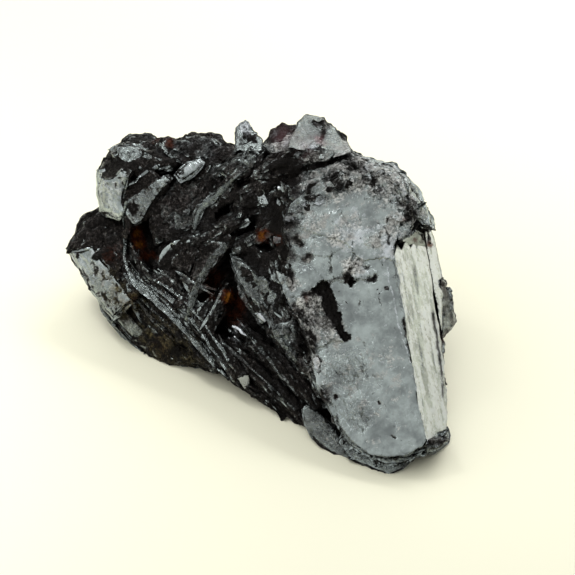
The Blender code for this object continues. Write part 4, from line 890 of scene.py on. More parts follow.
class Stack:
    """Collects plates into one mesh, in sheet coordinates, with painted values."""

    def __init__(self, seed):
        self.rng = np.random.default_rng(seed)
        self.verts, self.faces = [], []
        self.paints = {"shine": [], "pale_and_highlight": []}
        self.count = 0

    def add(self, verts, shine, pale_and_highlight):
        """Adds points and gives back their numbers."""
        self.verts.append(verts)
        self.paints["shine"].append(np.broadcast_to(shine, len(verts)))
        self.paints["pale_and_highlight"].append(np.broadcast_to(pale_and_highlight, len(verts)))
        self.count += len(verts)
        return np.arange(self.count - len(verts), self.count)

    def chips(self, ring, size, amount):
        """Angular chips along a ring: offsets that run straight between random breaks."""
        run = np.linalg.norm(np.roll(ring, -1, axis=0) - ring, axis=1).cumsum()
        breaks, at = [0.0], 0.0
        while at < run[-1]:
            at += self.rng.uniform(0.35, 1.6) * size
            breaks.append(at)
        heights = self.rng.uniform(-1.0, 0.6, len(breaks))
        heights[-1] = heights[0]
        return np.interp(np.concatenate([[0.0], run[:-1]]), breaks, heights) * amount

    def face(self, ring, style):
        """Points over the ring's inside, how far in each lies, and their triangles."""
        step = style.step
        low, high = ring.min(axis=0), ring.max(axis=0)
        columns = np.arange(low[0], high[0], step)
        rows = np.arange(low[1], high[1], step * 0.87)
        grid = np.array([(x + (j % 2) * step / 2, y) for j, y in enumerate(rows) for x in columns])
        grid = grid + self.rng.uniform(-0.25, 0.25, grid.shape) * step
        grid = grid[inside(grid, ring)]
        gap = np.full(len(grid), 1e9)
        for a in ring:
            gap = np.minimum(gap, (grid[:, 0] - a[0]) ** 2 + (grid[:, 1] - a[1]) ** 2)
        keep = gap > (0.6 * step) ** 2
        if style.band:
            keep &= (gap < style.band**2) | (self.rng.random(len(gap)) < 0.03)
        inner = np.concatenate([np.zeros(len(ring)), np.sqrt(gap[keep])])
        flat, source, tri = fill(np.vstack([ring, grid[keep]]), ring, 1)
        return flat, inner[source], tri

    def relief(self, flat, inner, plane, shift, style):
        """The face's height, shine, and paleness with painted highlight at each point."""
        place = flat + shift
        turn = math.radians(style.run)
        along = flat[:, 0] * math.cos(turn) + flat[:, 1] * math.sin(turn)
        across = flat[:, 1] * math.cos(turn) - flat[:, 0] * math.sin(turn)

        def drawn_out(fine, long, octaves, seed, third=0.0):
            """Noise drawn out along the plate's lines."""
            at = flat3(across * fine + shift[0], along * long + shift[1], third)
            return fbm(at, octaves, seed)

        def even(scale, octaves, seed, third=0.0, gain=0.5):
            return fbm(flat3(place[:, 0] * scale, place[:, 1] * scale, third), octaves, seed, gain)

        height = out_of(plane, flat[:, 0], flat[:, 1])
        height = height + even(style.grain, 4, 3) * style.relief
        glow = np.full(len(flat), float(style.shine))
        if style.rough:
            bend = place + 0.12 * np.column_stack([even(1.0, 3, 61), even(1.0, 3, 62, 9.0)])
            for scale, size in ((0.75, 0.26), (1.7, 0.13), (3.6, 0.055)):
                rise, lot = facets(flat3(bend[:, 0] * scale, bend[:, 1] * scale), 17, True)
                height = height + rise * size * style.rough
                glow = glow + lot * 0.08 * min(1.0, style.rough)
        if style.stria:
            lines = drawn_out(2.4, 0.22, 4, 15)
            height = height + lines * style.stria
            glow = glow + lines * min(0.3, style.stria * 3.0)
        if style.saw:
            waver = drawn_out(0.9, 0.35, 3, 19)
            fine = drawn_out(3.0, 1.6, 2, 20)
            t = across / style.pitch + waver * 1.6 + fine * 0.25
            tooth = t - np.floor(t)
            lot = (scramble(flat3(np.floor(t), 0.0).astype(np.int64), 23) & np.uint32(1023)) / 1023.0
            height = height + style.saw * (tooth - 0.5) * (0.4 + lot)
            glow = glow + 0.14 * (smooth(0.7, 1.0, tooth) - 0.3) + 0.12 * (lot - 0.5)
        for k in (0, 1) if style.veins else ():
            at = flat3(across * 0.9 + shift[k], along * 0.4 + shift[k], 5.0 * k)
            gate = smooth(-0.05, 0.25, even(0.5, 2, 93, 3.0 * k))
            dark = np.exp(-((fbm(at, 4, 91 + k) / 0.045) ** 2)) * gate
            glow = glow - style.veins * dark
            height = height - 0.05 * dark
        if style.marks:
            height, glow = mark(flat, height, glow)
        height = height - style.rim * np.exp(-inner / 0.13)
        # painted highlight: a broken bright line along the rim
        rim_highlight = np.exp(-((inner / 0.15) ** 2))
        broken = even(1.1, 4, 77, 0.0, 0.7)
        glow = glow + rim_highlight * smooth(-0.1, 0.35, broken) * style.edge
        pale_and_highlight = np.full(len(flat), float(style.pale_and_highlight))
        if style.streaks:
            wide = drawn_out(1.1, 0.1, 2, 95, 2.0)
            fine = drawn_out(3.6, 0.24, 3, 96, 4.0)
            pale_and_highlight = np.clip(pale_and_highlight + style.streaks * (0.7 * wide + 0.9 * fine), 0.0, 1.0)
            glow = glow - style.streaks * 0.5 * smooth(0.15, 0.5, -fine - 0.6 * wide)
        return height, np.clip(glow, 0.0, 1.2), pale_and_highlight

    def pages(self, ring, shift, style):
        """The side wall's levels: depth under the face, push outwards, and how lit."""
        levels, depth, number = [], 0.0, 0
        while depth < style.thick - 0.05:
            sheet = style.page * self.rng.uniform(0.45, 1.5)
            groove = min(0.1, sheet * 0.3)
            at = flat3(ring[:, 0] * 0.9 + 31.0 * number, ring[:, 1] * 0.9, shift[0])
            shove = self.rng.uniform(-0.12, 0.12) if number else 0.0
            nicks = self.chips(ring, 0.5, style.chip * 0.3)
            if number:
                push = style.flare * depth + fbm(at, 3, 5) * style.chip * 1.1 + shove + nicks
                levels.append((depth, push, 0.75))
            else:
                push = np.zeros(len(ring))
            levels.append((min(depth + sheet - groove, style.thick), push + 0.02, 0.85))
            levels.append((min(depth + sheet - groove * 0.5, style.thick), push - 0.14, 0.0))
            depth += sheet
            number += 1
        return levels

    def plate(self, outline, plane, style):
        """A crystal plate: a face with relief over a side wall of page edges, closed below."""
        first = len(self.verts)
        ring = walk(outline, style.step)
        out = edge_normals(ring)
        torn = self.chips(ring, 1.1, style.chip) + self.chips(ring, 0.35, style.chip * 0.35)
        ring = ring + out * torn[:, None]
        shift = self.rng.uniform(0, 50, 2)
        flat, inner, tri = self.face(ring, style)
        if style.rough > 0.3:
            style = replace(style, shine=style.shine * self.rng.uniform(0.5, 1.4))
        height, glow, pale_and_highlight = self.relief(flat, inner, plane, shift, style)
        top = self.add(np.column_stack([flat, height]), glow, pale_and_highlight)
        self.faces.extend(top[tri].tolist())

        loops = [top[: len(ring)]]
        front = height[: len(ring)]
        back = out_of(plane, ring[:, 0], ring[:, 1]) - style.thick
        for down, push, lit in self.pages(ring, shift, style):
            wall = np.column_stack([ring + out * push[:, None], np.maximum(front - down, back)])
            glow = (0.1 + 0.9 * style.shine) * (0.1 + 0.9 * lit)
            loops.append(self.add(wall, glow, style.pale_and_highlight * 0.6))
        forward = anticlockwise(ring)
        for high, low in zip(loops, loops[1:]):
            quads = np.stack([high, low, np.roll(low, -1), np.roll(high, -1)], axis=1)
            self.faces.extend((quads if forward else quads[:, ::-1]).tolist())
        flat, _, tri = fill(ring, ring, -1)
        if len(flat) == len(ring):
            self.faces.extend(loops[-1][tri].tolist())
        for k in range(first, len(self.verts)):
            self.verts[k] = rested(self.verts[k], plane)

    def sheets(self, ring, plane, style, under=3, over=2, spread=0.26, lift=0.16):
        """Thin sheets that show round a plate and partial ones that lie on its face."""
        centre = ring.mean(axis=0)
        way = ring - centre
        size = np.linalg.norm(way, axis=1, keepdims=True)
        thin = replace(style, page=0.2, flare=0.1, thick=0.3, edge=0.8)
        for k in range(1, under + 1):
            turn = self.rng.uniform(0, 2 * math.pi)
            angle = np.arctan2(way[:, 1], way[:, 0])
            grow = spread * k * (0.35 + 0.65 * np.cos((angle - turn) / 2) ** 2)
            wide = ring + way / np.maximum(size, 1e-6) * grow[:, None]
            tilt = self.rng.uniform(-0.03, 0.03, 2)
            drop = lift * 2.2 * k + self.rng.uniform(0.0, 0.15)
            self.plate(wide, turned(plane, -drop, tilt, centre), replace(thin, band=0.8))
        for k in range(over):
            anchor = ring[self.rng.integers(len(ring))]
            small = anchor + (ring - anchor) * self.rng.uniform(0.45, 0.8)
            small = centre + (small - centre) * 0.96
            tilt = self.rng.uniform(-0.025, 0.025, 2)
            self.plate(small, turned(plane, lift * (k + 1) * 0.8, tilt, centre), thin)

    def finish(self, name, material):
        piece = make_piece(name, to_row(np.vstack(self.verts)), self.faces, material)
        for key, parts in self.paints.items():
            paint(piece, key, np.concatenate(parts))


# ------------------------------------------------------------------ what lies on the stone
class Ground:
    """How far out the stone reaches at each place on the drawing plane."""

    def __init__(self, low=(-21.0, -20.0), high=(22.2, 19.6), cell=0.12):
        self.low, self.cell = np.array(low), cell
        cells = (np.array(high) - self.low) / cell
        self.top = np.full(tuple(cells.round().astype(int)), -np.inf)

    def cover(self, q):
        at = ((q[:, :2] - self.low) / self.cell).astype(int)
        ok = (at >= 0).all(axis=1) & (at < self.top.shape).all(axis=1)
        np.maximum.at(self.top, tuple(at[ok].T), q[ok, 2])

    def at(self, u, v):
        i, j = ((np.array([u, v]) - self.low) / self.cell).astype(int)
        block = self.top[i - 1 : i + 2, j - 1 : j + 2]
        block = block[np.isfinite(block)]
        return float(np.median(block)) if len(block) else None

    def plane(self, outline):
        """The plane that lies on the stone inside an outline."""
        low, high = outline.min(axis=0), outline.max(axis=0)
        right, up = np.arange(low[0], high[0], 0.25), np.arange(low[1], high[1], 0.25)
        spots = np.array([(u, v) for u in right for v in up])
        spots = spots[inside(spots, outline)]
        heights = [self.at(u, v) for u, v in spots]
        known = [h is not None for h in heights]
        spots = spots[known]
        heights = np.array([h for h in heights if h is not None])
        rows = np.column_stack([np.ones(len(spots)), spots])
        for _ in range(3):
            plane = np.linalg.lstsq(rows, heights, rcond=None)[0]
            keep = heights - rows @ plane > -0.8
            rows, heights = rows[keep], heights[keep]
        proud = np.quantile(heights - rows @ plane, 0.7)
        return (plane[0] + proud, plane[1], plane[2])

    def ribbon(self, text, proud):
        """A band along a line: its outline and a surface that follows the stone."""
        knots = drawn(text)
        line, wide = knots[:, :2], knots[:, 2]
        lengths = np.linalg.norm(np.diff(line, axis=0), axis=1)
        run = np.concatenate([[0], np.cumsum(lengths)])
        t = np.arange(0, run[-1], 0.12)
        path = np.column_stack([np.interp(t, run, line[:, k]) for k in (0, 1)])
        path = np.vstack([np.repeat(path[:1], 4, axis=0), path, np.repeat(path[-1:], 4, axis=0)])
        mean = np.ones(9) / 9.0
        path = np.column_stack([np.convolve(path[:, k], mean, "valid") for k in (0, 1)])
        half = np.interp(t, run, wide) / 2
        half = half * (1 + 0.35 * fbm(flat3(t * 0.8, run[-1]), 3, 27))
        ahead = np.gradient(path, axis=0)
        ahead /= np.linalg.norm(ahead, axis=1, keepdims=True)
        side = np.column_stack([-ahead[:, 1], ahead[:, 0]])
        reach = side * half[:, None]
        height = np.array([self.at(u, v) for u, v in path])
        padded = np.concatenate([np.repeat(height[:1], 12), height, np.repeat(height[-1:], 12)])
        height = np.array([np.median(padded[k : k + 25]) for k in range(len(height))])

        def surface(u, v):
            points = np.column_stack([u, v])
            nearest = np.array([((path - q) ** 2).sum(axis=1).argmin() for q in points])
            off = ((points - path[nearest]) * side[nearest]).sum(axis=1)
            return height[nearest] - 0.3 * off + proud

        return np.vstack([path + reach, (path - reach)[::-1]]), surface


def shards(stack, ground, rng):
    """Small loose crystals scattered over each region of SHARDS."""
    for text, count, plane, heading, long, wide, tilt, changes in SHARDS:
        region = drawn(text)
        low, high = region.min(axis=0), region.max(axis=0)
        made = 0
        while made < count:
            spot = rng.uniform(low, high)
            if not inside(spot[None, :], region)[0]:
                continue
            made += 1
            w = ground.at(*spot)
            if w is None:
                continue
            a, b = rng.uniform(*long) / 2, rng.uniform(*wide) / 2
            corners = rng.integers(6, 10)
            angle = np.sort(rng.uniform(0, 2 * math.pi, corners))
            angle = angle + (np.arange(corners) * 2 * math.pi / corners - angle) * 0.6
            reach = rng.uniform(0.7, 1.15, corners)
            turn = math.radians(heading + rng.normal() * 14.0)
            x, y = np.cos(angle) * a * reach, np.sin(angle) * b * reach
            right = spot[0] + x * math.cos(turn) - y * math.sin(turn)
            up = spot[1] + x * math.sin(turn) + y * math.cos(turn)
            style = replace(SHARD, thick=rng.uniform(0.3, 0.6), run=heading, **changes)
            if tilt == LOOSE:
                style = replace(style, shine=rng.uniform(0.15, 1.1), pale_and_highlight=rng.uniform(0.0, 0.8))
            du, dv = plane[1] + rng.normal() * tilt, plane[2] + rng.normal() * tilt
            lift = rng.uniform(0.0, 0.16)
            tilted = (w + lift - du * spot[0] - dv * spot[1], du, dv)
            stack.plate(np.column_stack([right, up]), tilted, style)


# ------------------------------------------------------------------ material
METAL = (0.14, 0.155, 0.157), (0.33, 0.37, 0.365)
COARSE_WARM = (0.008, 0.0066, 0.006), (0.2, 0.176, 0.168)
COARSE_COLD = (0.007, 0.0065, 0.0065), (0.16, 0.16, 0.165)
WHITENED_AND_HIGHLIGHT = (0.5, 0.525, 0.56)
CRUST_SPECKLED = (0.03, 0.027, 0.025), (0.66, 0.65, 0.62)
CRUST_EVEN = (0.1, 0.092, 0.086), (0.5, 0.485, 0.465)
FLECK = (0.014, 0.012, 0.011)
DARK_GRAIN = (0.02, 0.018, 0.017)
FROST = (0.75, 0.77, 0.78)
SHADED = (0.03, 0.032, 0.035)
OXIDE = (0.002, 0.0016, 0.0015), (0.009, 0.0075, 0.0065)
# near-black painted shade laid into recesses by the occlusion rays in dress()
OCCLUSION_SHADE = (0.0024, 0.0018, 0.0015)
OCHRE = (0.06, 0.012, 0.003), (0.26, 0.1, 0.012)
PINK = (0.3, 0.14, 0.16)
OLIVE = (0.022, 0.018, 0.009), (0.2, 0.17, 0.085)
PAPER = (0.87, 0.845, 0.68)


class Nodes:
    """Short calls for building the nodes of a material or a world."""

    def __init__(self, owner, shader="Principled BSDF"):
        owner.use_nodes = True
        self.owner, self.tree = owner, owner.node_tree
        self.shader = self.tree.nodes[shader]

    def add(self, kind, inputs, **settings):
        node = self.tree.nodes.new(kind)
        for key, value in settings.items():
            setattr(node, key, value)
        for key, value in inputs.items():
            self.feed(node, key, value)
        return node

    def feed(self, node, key, value):
        socket = node.inputs[key]
        if isinstance(value, bpy.types.NodeSocket):
            self.tree.links.new(value, socket)
        elif socket.type == "RGBA":
            socket.default_value = (*value, 1.0)
        else:
            socket.default_value = value

    def value(self, name):
        return self.add("ShaderNodeAttribute", {}, attribute_name=name).outputs["Fac"]

    def math(self, op, a, b, clamp=False):
        node = self.add("ShaderNodeMath", {0: a, 1: b}, operation=op, use_clamp=clamp)
        return node.outputs[0]

    def plus(self, a, b, clamp=False):
        return self.math("ADD", a, b, clamp)

    def times(self, a, b):
        return self.math("MULTIPLY", a, b)

    def spread(self, x, amount):
        """A value about 0.5 made one about 0."""
        return self.times(self.math("SUBTRACT", x, 0.5), amount)

    def vector(self, op, a, b):
        return self.add("ShaderNodeVectorMath", {0: a, 1: b}, operation=op)

    def ramp(self, x, low, high, to_low=0.0, to_high=1.0):
        ends = {"From Min": low, "From Max": high, "To Min": to_low, "To Max": to_high}
        node = self.add(
            "ShaderNodeMapRange", {"Value": x, **ends}, interpolation_type="SMOOTHSTEP"
        )
        return node.outputs["Result"]

    def mix(self, factor, a, b):
        """The second colour over the first."""
        return self.add("ShaderNodeMix", {0: factor, 6: a, 7: b}, data_type="RGBA").outputs[2]

    def noise(self, vector, scale, detail=4.0, rough=0.55):
        inputs = {"Vector": vector, "Scale": scale, "Detail": detail, "Roughness": rough}
        return self.add("ShaderNodeTexNoise", inputs).outputs["Fac"]

    def crystals(self, where, scale):
        """Heights of small flat crystals, each tilted its own way."""
        cell = self.add("ShaderNodeTexVoronoi", {"Vector": where, "Scale": scale})
        away = self.vector("SUBTRACT", where, cell.outputs["Position"]).outputs[0]
        tilt = self.vector("SUBTRACT", cell.outputs["Color"], (0.5, 0.5, 0.5)).outputs[0]
        return self.vector("DOT_PRODUCT", away, tilt).outputs["Value"]


def stone_material():
    """Metallic hematite where it shines, dull iron oxide between, rust and other stain colours, and
    painted shade in the hollows.
    """
    n = Nodes(bpy.data.materials.new("hematite"))
    where = n.add("ShaderNodeTexCoord", {}).outputs["Object"]
    shade, mottle = n.value("shade"), n.value("mottle")
    shine = n.math("SUBTRACT", n.value("shine"), shade, True)
    broad = n.noise(where, 320.0)
    patch = n.noise(where, 1100.0, 5.0, 0.6)
    grain = n.noise(where, 3600.0, 3.0, 0.6)
    speck = n.noise(where, 8500.0, 2.0, 0.6)

    # how much of the surface is clean metal
    lit = n.plus(shine, n.spread(patch, 0.55))
    lit = n.plus(lit, n.spread(grain, 0.4))
    lit = n.ramp(n.plus(lit, n.spread(speck, 0.45), True), 0.0, 0.7)

    # the metal, coarse where it shines less, white in clouds, and painted white for highlights where
    # pale_and_highlight is high
    tone = n.plus(n.times(broad, 0.5), n.times(n.noise(where, 700.0, 6.0, 0.65), 0.5))
    metal = n.mix(n.ramp(tone, 0.34, 0.66), *METAL)
    grit = n.ramp(n.plus(n.times(speck, 0.55), n.times(grain, 0.45)), 0.42, 0.66)
    coarse = n.mix(n.ramp(broad, 0.45, 0.62), n.mix(grit, *COARSE_WARM), n.mix(grit, *COARSE_COLD))
    metal = n.mix(n.ramp(shine, 0.15, 0.8), coarse, metal)
    cloud = n.plus(n.times(patch, 0.6), n.times(grain, 0.4))
    whiten_and_highlight = n.ramp(n.plus(cloud, n.times(n.value("pale_and_highlight"), 0.36)), 0.6, 0.86)
    metal = n.mix(n.times(whiten_and_highlight, 0.8), metal, WHITENED_AND_HIGHLIGHT)

    # dull crust over the metal, with dark and frosted grains
    film = n.plus(n.noise(where, 900.0, 6.0, 0.7), n.times(mottle, 0.34))
    film = n.ramp(film, 0.6, 0.8)
    crisp = n.plus(n.times(speck, 0.45), n.times(grain, 0.55))
    crust = n.mix(n.ramp(crisp, 0.4, 0.58), *CRUST_SPECKLED)
    crust = n.mix(n.ramp(broad, 0.4, 0.6), crust, n.mix(grain, *CRUST_EVEN))
    metal = n.mix(n.times(film, 0.75), metal, crust)
    fleck = n.plus(n.noise(where, 1500.0, 4.0, 0.7), n.times(mottle, 0.1))
    metal = n.mix(n.ramp(fleck, 0.66, 0.74), metal, FLECK)
    mottled = n.ramp(mottle, 0.3, 0.8)
    dark = n.times(n.ramp(crisp, 0.36, 0.47, 1.0, 0.0), mottled)
    metal = n.mix(n.times(dark, 0.8), metal, DARK_GRAIN)
    frost = n.times(n.ramp(crisp, 0.53, 0.63), mottled)
    metal = n.mix(n.times(frost, 0.75), metal, FROST)
    metal = n.mix(n.times(shade, 0.6), metal, SHADED)

    # oxide where it doesn't shine, painted occlusion shade in the hollows, and the stain colours
    colour = n.mix(lit, n.mix(patch, *OXIDE), metal)
    colour = n.mix(n.ramp(n.value("occlusion_shade"), 0.0, 0.8, 0.0, 0.95), colour, OCCLUSION_SHADE)
    rusty = n.plus(n.plus(n.times(patch, 0.5), n.times(grain, 0.5)), n.value("rust"))
    stain = n.ramp(rusty, 0.68, 1.15)
    colour = n.mix(stain, colour, n.mix(n.ramp(rusty, 1.0, 1.4), *OCHRE))
    colour = n.mix(n.times(n.value("pink"), 0.5), colour, PINK)
    olive = n.times(n.value("olive"), n.ramp(patch, 0.42, 0.62))
    n.feed(n.shader, "Base Color", n.mix(olive, colour, n.mix(grit, *OLIVE)))

    clean = n.times(n.ramp(film, 0.0, 1.0, 1.0, 0.35), n.ramp(stain, 0.0, 1.0, 1.0, 0.1))
    n.feed(n.shader, "Metallic", n.times(n.ramp(lit, 0.02, 0.4), clean))
    gloss = n.plus(n.ramp(lit, 0.0, 1.0, 0.5, 0.2), n.times(whiten_and_highlight, 0.12))
    gloss = n.plus(gloss, n.times(film, 0.2))
    n.feed(n.shader, "Roughness", n.plus(gloss, n.spread(patch, 0.25), True))
    n.feed(n.shader, "Specular IOR Level", 0.06)

    # grain of the surface, fainter on the smooth faces
    polish = n.ramp(shine, 0.6, 0.95, 1.0, 0.12)
    strength = n.math("MAXIMUM", polish, n.ramp(mottle, 0.2, 0.9, 0.15, 1.0))
    height = n.times(n.crystals(where, 7500.0), 0.7)
    height = n.plus(height, n.times(n.crystals(where, 3000.0), 0.5))
    height = n.plus(height, n.times(grain, 0.00016))
    height = n.plus(height, n.times(speck, 0.00008))
    bump = {"Height": height, "Strength": strength, "Distance": 1.0}
    n.feed(n.shader, "Normal", n.add("ShaderNodeBump", bump).outputs["Normal"])
    return n.owner


# ------------------------------------------------------------------ the stone's body
def fine_solid(voxel=0.31):
    """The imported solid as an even, fine mesh."""
    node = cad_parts["hematite"]
    mesh = node.data.copy()
    mesh.transform(Matrix.Scale(1 / MM, 4) @ node.matrix_world)
    cast = bpy.data.objects.new("body_cast", mesh)
    bpy.context.scene.collection.objects.link(cast)
    remesh = cast.modifiers.new("fine", "REMESH")
    remesh.mode = "VOXEL"
    remesh.voxel_size = voxel
    graph = bpy.context.evaluated_depsgraph_get()
    fine = bpy.data.meshes.new_from_object(cast.evaluated_get(graph))
    bpy.data.objects.remove(cast)
    return fine


def body(material):
    """The stone itself, cut into pages, broken into facets and worn."""
    fine = fine_solid()
    p = places(fine)
    q = to_sheet(p)
    m = way_to_sheet(normals(fine))
    faces = [tuple(f.vertices) for f in fine.polygons]
    bpy.data.meshes.remove(fine)

    # the pages' edges, pushed in and out along the stone's sides
    block = smooth(2.0, 4.0, q[:, 0])[:, None]
    axis = sheet_normal(LEFT) * (1 - block) + sheet_normal(BLOCK) * block
    axis /= np.linalg.norm(axis, axis=1, keepdims=True)
    s = (q * axis).sum(axis=1) + fbm(q * 0.12, 2, 21) * 1.4 + fbm(q * 0.5, 3, 23) * 0.5
    side = m - (m * axis).sum(axis=1)[:, None] * axis
    length = np.linalg.norm(side, axis=1, keepdims=True)
    side = side / np.maximum(length, 1e-6)
    edge = smooth(0.35, 0.8, length[:, 0])
    gaps = 0.22 + np.random.default_rng(5).exponential(0.5, 260)
    levels = np.cumsum(gaps) - 80.0
    k = np.searchsorted(levels, s)
    f = (s - levels[k - 1]) / (levels[k] - levels[k - 1])
    page = fbm(flat3(q[:, 0] * 0.5, q[:, 1] * 0.5, k * 7.31), 4, 33)
    groove = np.exp(-(((f - 0.5) / 0.5) ** 8)) - 0.5
    over_floor = smooth(0.05, 0.9, p[:, 2])
    q = q + side * ((page * 0.42 + groove * 0.12) * edge * over_floor)[:, None]

    # facets all over it
    lift = fbm(q * 0.9, 4, 41) * 0.08
    for scale, size in ((0.4, 0.3), (0.8, 0.3), (1.7, 0.16)):
        lift = lift + facets(q * scale, 44)[0] * size
    q = q + m * ((lift - 0.12 - 0.16 * block[:, 0]) * over_floor)[:, None]

    # room for the plates on the block's side
    u, v = q[:, 0], q[:, 1]
    shaved = (u > 12.4) & (u < 18.6) & (v > -14.6) & (v < 4.6)
    q[:, 2] = np.where(shaved, np.minimum(q[:, 2], out_of(BLOCK_SIDE, u, v) - 0.3), q[:, 2])
    p = to_row(q)
    p[:, 2] = np.maximum(p[:, 2], 0.0)
    piece = make_piece("stone_body", p, faces, material, 60.0)
    worn = smooth(-0.3, 0.5, fbm(q * 0.6, 4, 57))
    cheek = np.exp(-((u - 18.8) ** 2 + (v + 1.5) ** 2) / 5.0)
    shine = 0.08 + 0.3 * worn * (0.3 + 0.7 * edge * smooth(0.1, 0.5, f))
    paint(piece, "shine", shine + 0.3 * block[:, 0] * worn + 0.4 * cheek)
    paint(piece, "pale_and_highlight", 0.2 * block[:, 0])
    return piece


# ------------------------------------------------------------------ stain colours, painted light and painted occlusion shade
def stains_and_painted_light(piece, q, front):
    """Paints how strongly each stain, painted highlight and painted shade of STAINS_AND_PAINTED_LIGHT
    and LINES lies on the piece's points.
    """
    wander = q[:, :2] + 0.6 * np.column_stack([fbm(q * 0.8, 3, 51), fbm(q * 0.8 + 40.0, 3, 52)])
    for name, text in STAINS_AND_PAINTED_LIGHT.items():
        total = np.zeros(len(q))
        for u, v, reach, amount in drawn(text):
            far = ((wander - (u, v)) ** 2).sum(axis=1) / reach**2
            total = np.maximum(total, amount * np.exp(-far))
        for line, width, amount in LINES.get(name, ()):
            gap = distance(0.6 * q[:, :2] + 0.4 * wander, drawn(line))
            total = np.maximum(total, amount * np.exp(-((gap / width) ** 2)))
        total = total * front
        if name in piece.data.attributes:
            values = piece.data.attributes[name].data
            old = np.empty(len(q), np.float32)
            values.foreach_get("value", old)
            values.foreach_set("value", np.maximum(old, total).astype(np.float32))
        else:
            paint(piece, name, total)


def dress(pieces):
    """Paints each stain and the painted light, and painted occlusion shade: how deep in a recess each
    point is.
    """
    cell, margin, rays = 0.25, 4.0, 10
    reaches = (0.55, 0.8, 1.05, 1.35, 1.7, 2.1, 2.6)
    rng = np.random.default_rng(8)
    parts = [(piece, places(piece.data) / MM, normals(piece.data)) for piece in pieces]
    every = np.vstack([p for _, p, _ in parts])
    corner = every.min(axis=0) - margin
    filled = np.zeros(np.ceil((every.max(axis=0) + margin - corner) / cell).astype(int), bool)
    filled[tuple(((every - corner) / cell).astype(int).T)] = True
    for piece, p, m in parts:
        q = to_sheet(p)
        stains_and_painted_light(piece, q, smooth(-0.7, -0.2, way_to_sheet(m)[:, 2]) * (q[:, 2] > -10.0))
        hits = np.zeros(len(p))
        for _ in range(rays):
            way = m * 1.05 + rng.normal(size=p.shape) * 0.6
            way /= np.maximum(np.linalg.norm(way, axis=1, keepdims=True), 1e-6)
            hit = np.zeros(len(p), bool)
            for far in reaches:
                at = ((p + m * 0.1 + way * far - corner) / cell).astype(int)
                hit |= filled[tuple(at.T)]
            hits += hit
        # painted occlusion shade: the share of short rays from each point that run into the stone
        paint(piece, "occlusion_shade", smooth(0.3, 0.95, hits / rays))


# ------------------------------------------------------------------ assembly
def plates():
    """The big plates of PIECES, with thin sheets round some of them."""
    stacks = {}
    for seed, (name, group) in enumerate(PIECES.items(), 3):
        stack = Stack(seed)
        stacks[name] = stack
        for style, plane, thick, shine, text in group.values():
            own = replace(style, thick=thick, shine=shine)
            stack.plate(drawn(text), plane, own)
            if style in (LEAF, BLADE, FAN, CRUSTY):
                stack.sheets(drawn(text), plane, own)
            elif style == LIP:
                stack.sheets(drawn(text), plane, own, 3, 0, 0.12, 0.1)
            elif style in (BRIGHT, BAND):
                stack.sheets(drawn(text), plane, own, 2, 0)
    return stacks


def crust(ground):
    """What lies on the plates: the pieces of FITTED and the bands of RIBBONS."""
    stack = Stack(39)
    for style, thick, shine, text in FITTED.values():
        plane = raised(ground.plane(drawn(text)), 0.3 if style == GLINT else 0.0)
        stack.plate(drawn(text), plane, replace(style, thick=thick, shine=shine))
    for proud, shine, text in RIBBONS.values():
        outline, surface = ground.ribbon(text, proud)
        stack.plate(outline, surface, replace(RIBBON, shine=shine))
    return stack


def stone():
    """Every piece of the stone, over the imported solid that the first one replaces."""
    material = stone_material()
    base = body(material)
    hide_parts("hematite")
    stacks = plates()
    ground = Ground()
    ground.cover(to_sheet(places(base.data) / MM))
    for stack in stacks.values():
        for verts in stack.verts:
            ground.cover(verts)
    stacks["crust"] = crust(ground)
    stacks["shards"] = Stack(40)
    shards(stacks["shards"], ground, np.random.default_rng(41))
    for name, stack in stacks.items():
        stack.finish(name, material)
    dress(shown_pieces())


# ------------------------------------------------------------------ floor, light and camera
GLOWS = (
    # direction, its cosines where the light starts and is full, amount
    ((0, 0, 1), -0.25, 0.1, 0.38),
    ((-0.4, -0.22, 0.88), 0.45, 0.95, 0.72),
    ((0.6, 0.8, 0.0), 0.3, 0.9, 1.2),
    ((-1.0, 0.1, 0.1), 0.6, 0.96, 0.6),
)


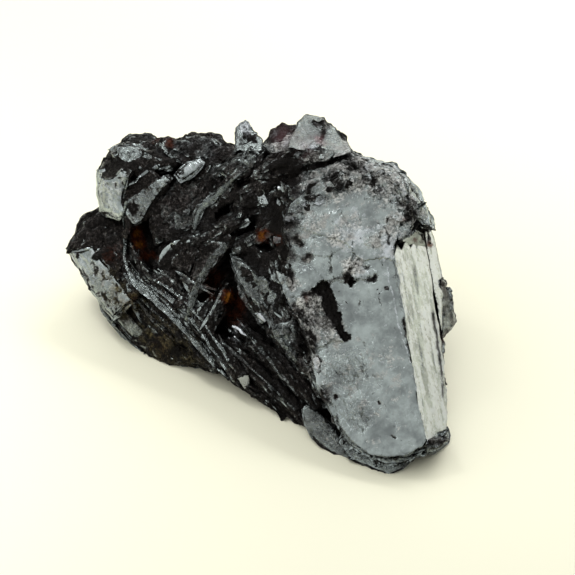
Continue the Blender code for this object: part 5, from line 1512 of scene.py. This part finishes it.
def floor(half=3.0):
    mesh = bpy.data.meshes.new("floor")
    corners = [(-half, -half, 0), (half, -half, 0), (half, half, 0), (-half, half, 0)]
    mesh.from_pydata(corners, [], [(0, 1, 2, 3)])
    plane = bpy.data.objects.new("floor", mesh)
    bpy.context.scene.collection.objects.link(plane)
    n = Nodes(bpy.data.materials.new("floor"))
    n.feed(n.shader, "Base Color", PAPER)
    n.feed(n.shader, "Roughness", 0.6)
    n.feed(n.shader, "Specular IOR Level", 0.2)
    mesh.materials.append(n.owner)
    plane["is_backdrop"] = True


def softbox(name, place, size, power, aim, spread):
    light = bpy.data.lights.new(name, "AREA")
    light.shape = "RECTANGLE"
    light.size, light.size_y = size
    light.energy = power
    light.spread = math.radians(spread)
    lamp = bpy.data.objects.new(name, light)
    lamp.location = place
    way = Vector(aim) - Vector(place)
    lamp.rotation_euler = way.to_track_quat("-Z", "Y").to_euler()
    bpy.context.scene.collection.objects.link(lamp)


def sky():
    """A pale studio: bright low walls, a soft ceiling and a dark camera side."""
    n = Nodes(bpy.data.worlds.new("studio"), "Background")
    way = n.add("ShaderNodeTexCoord", {}).outputs["Generated"]
    total = 0.0
    for towards, low, high, amount in GLOWS:
        cosine = n.vector("DOT_PRODUCT", way, Vector(towards).normalized()).outputs["Value"]
        total = n.plus(total, n.ramp(cosine, low, high, 0.0, amount))
    n.feed(n.shader, "Strength", total)
    n.feed(n.shader, "Color", (0.97, 0.985, 0.96))
    bpy.context.scene.world = n.owner


def camera(away=0.9, width=0.0575, sensor=36.0):
    """Looks straight at the drawing plane and sees the given width of it."""
    data = bpy.data.cameras.new("camera")
    data.sensor_width = sensor
    data.lens = sensor * away / width
    data.clip_end = 10.0
    eye = bpy.data.objects.new("camera", data)
    middle = np.array([[2.75, 0.25, 0.0]])  # of the picture, in sheet coordinates
    target = Vector((to_row(middle)[0] * MM).tolist())
    back = Vector((0.0, -COSINE, SINE))
    eye.location = target + back * away
    eye.rotation_euler = (-back).to_track_quat("-Z", "Y").to_euler()
    bpy.context.scene.collection.objects.link(eye)
    bpy.context.scene.camera = eye


stone()
floor()
sky()
softbox("back", (0.17, 0.2, 0.2), (0.26, 0.2), power=0.34, aim=(0.12, 0.14, 0.0), spread=70.0)
softbox("left", (-0.14, 0.05, 0.2), (0.1, 0.1), power=0.045, aim=(-0.09, 0.0, 0.0), spread=40.0)
camera()
bpy.context.scene.view_settings.view_transform = "Standard"
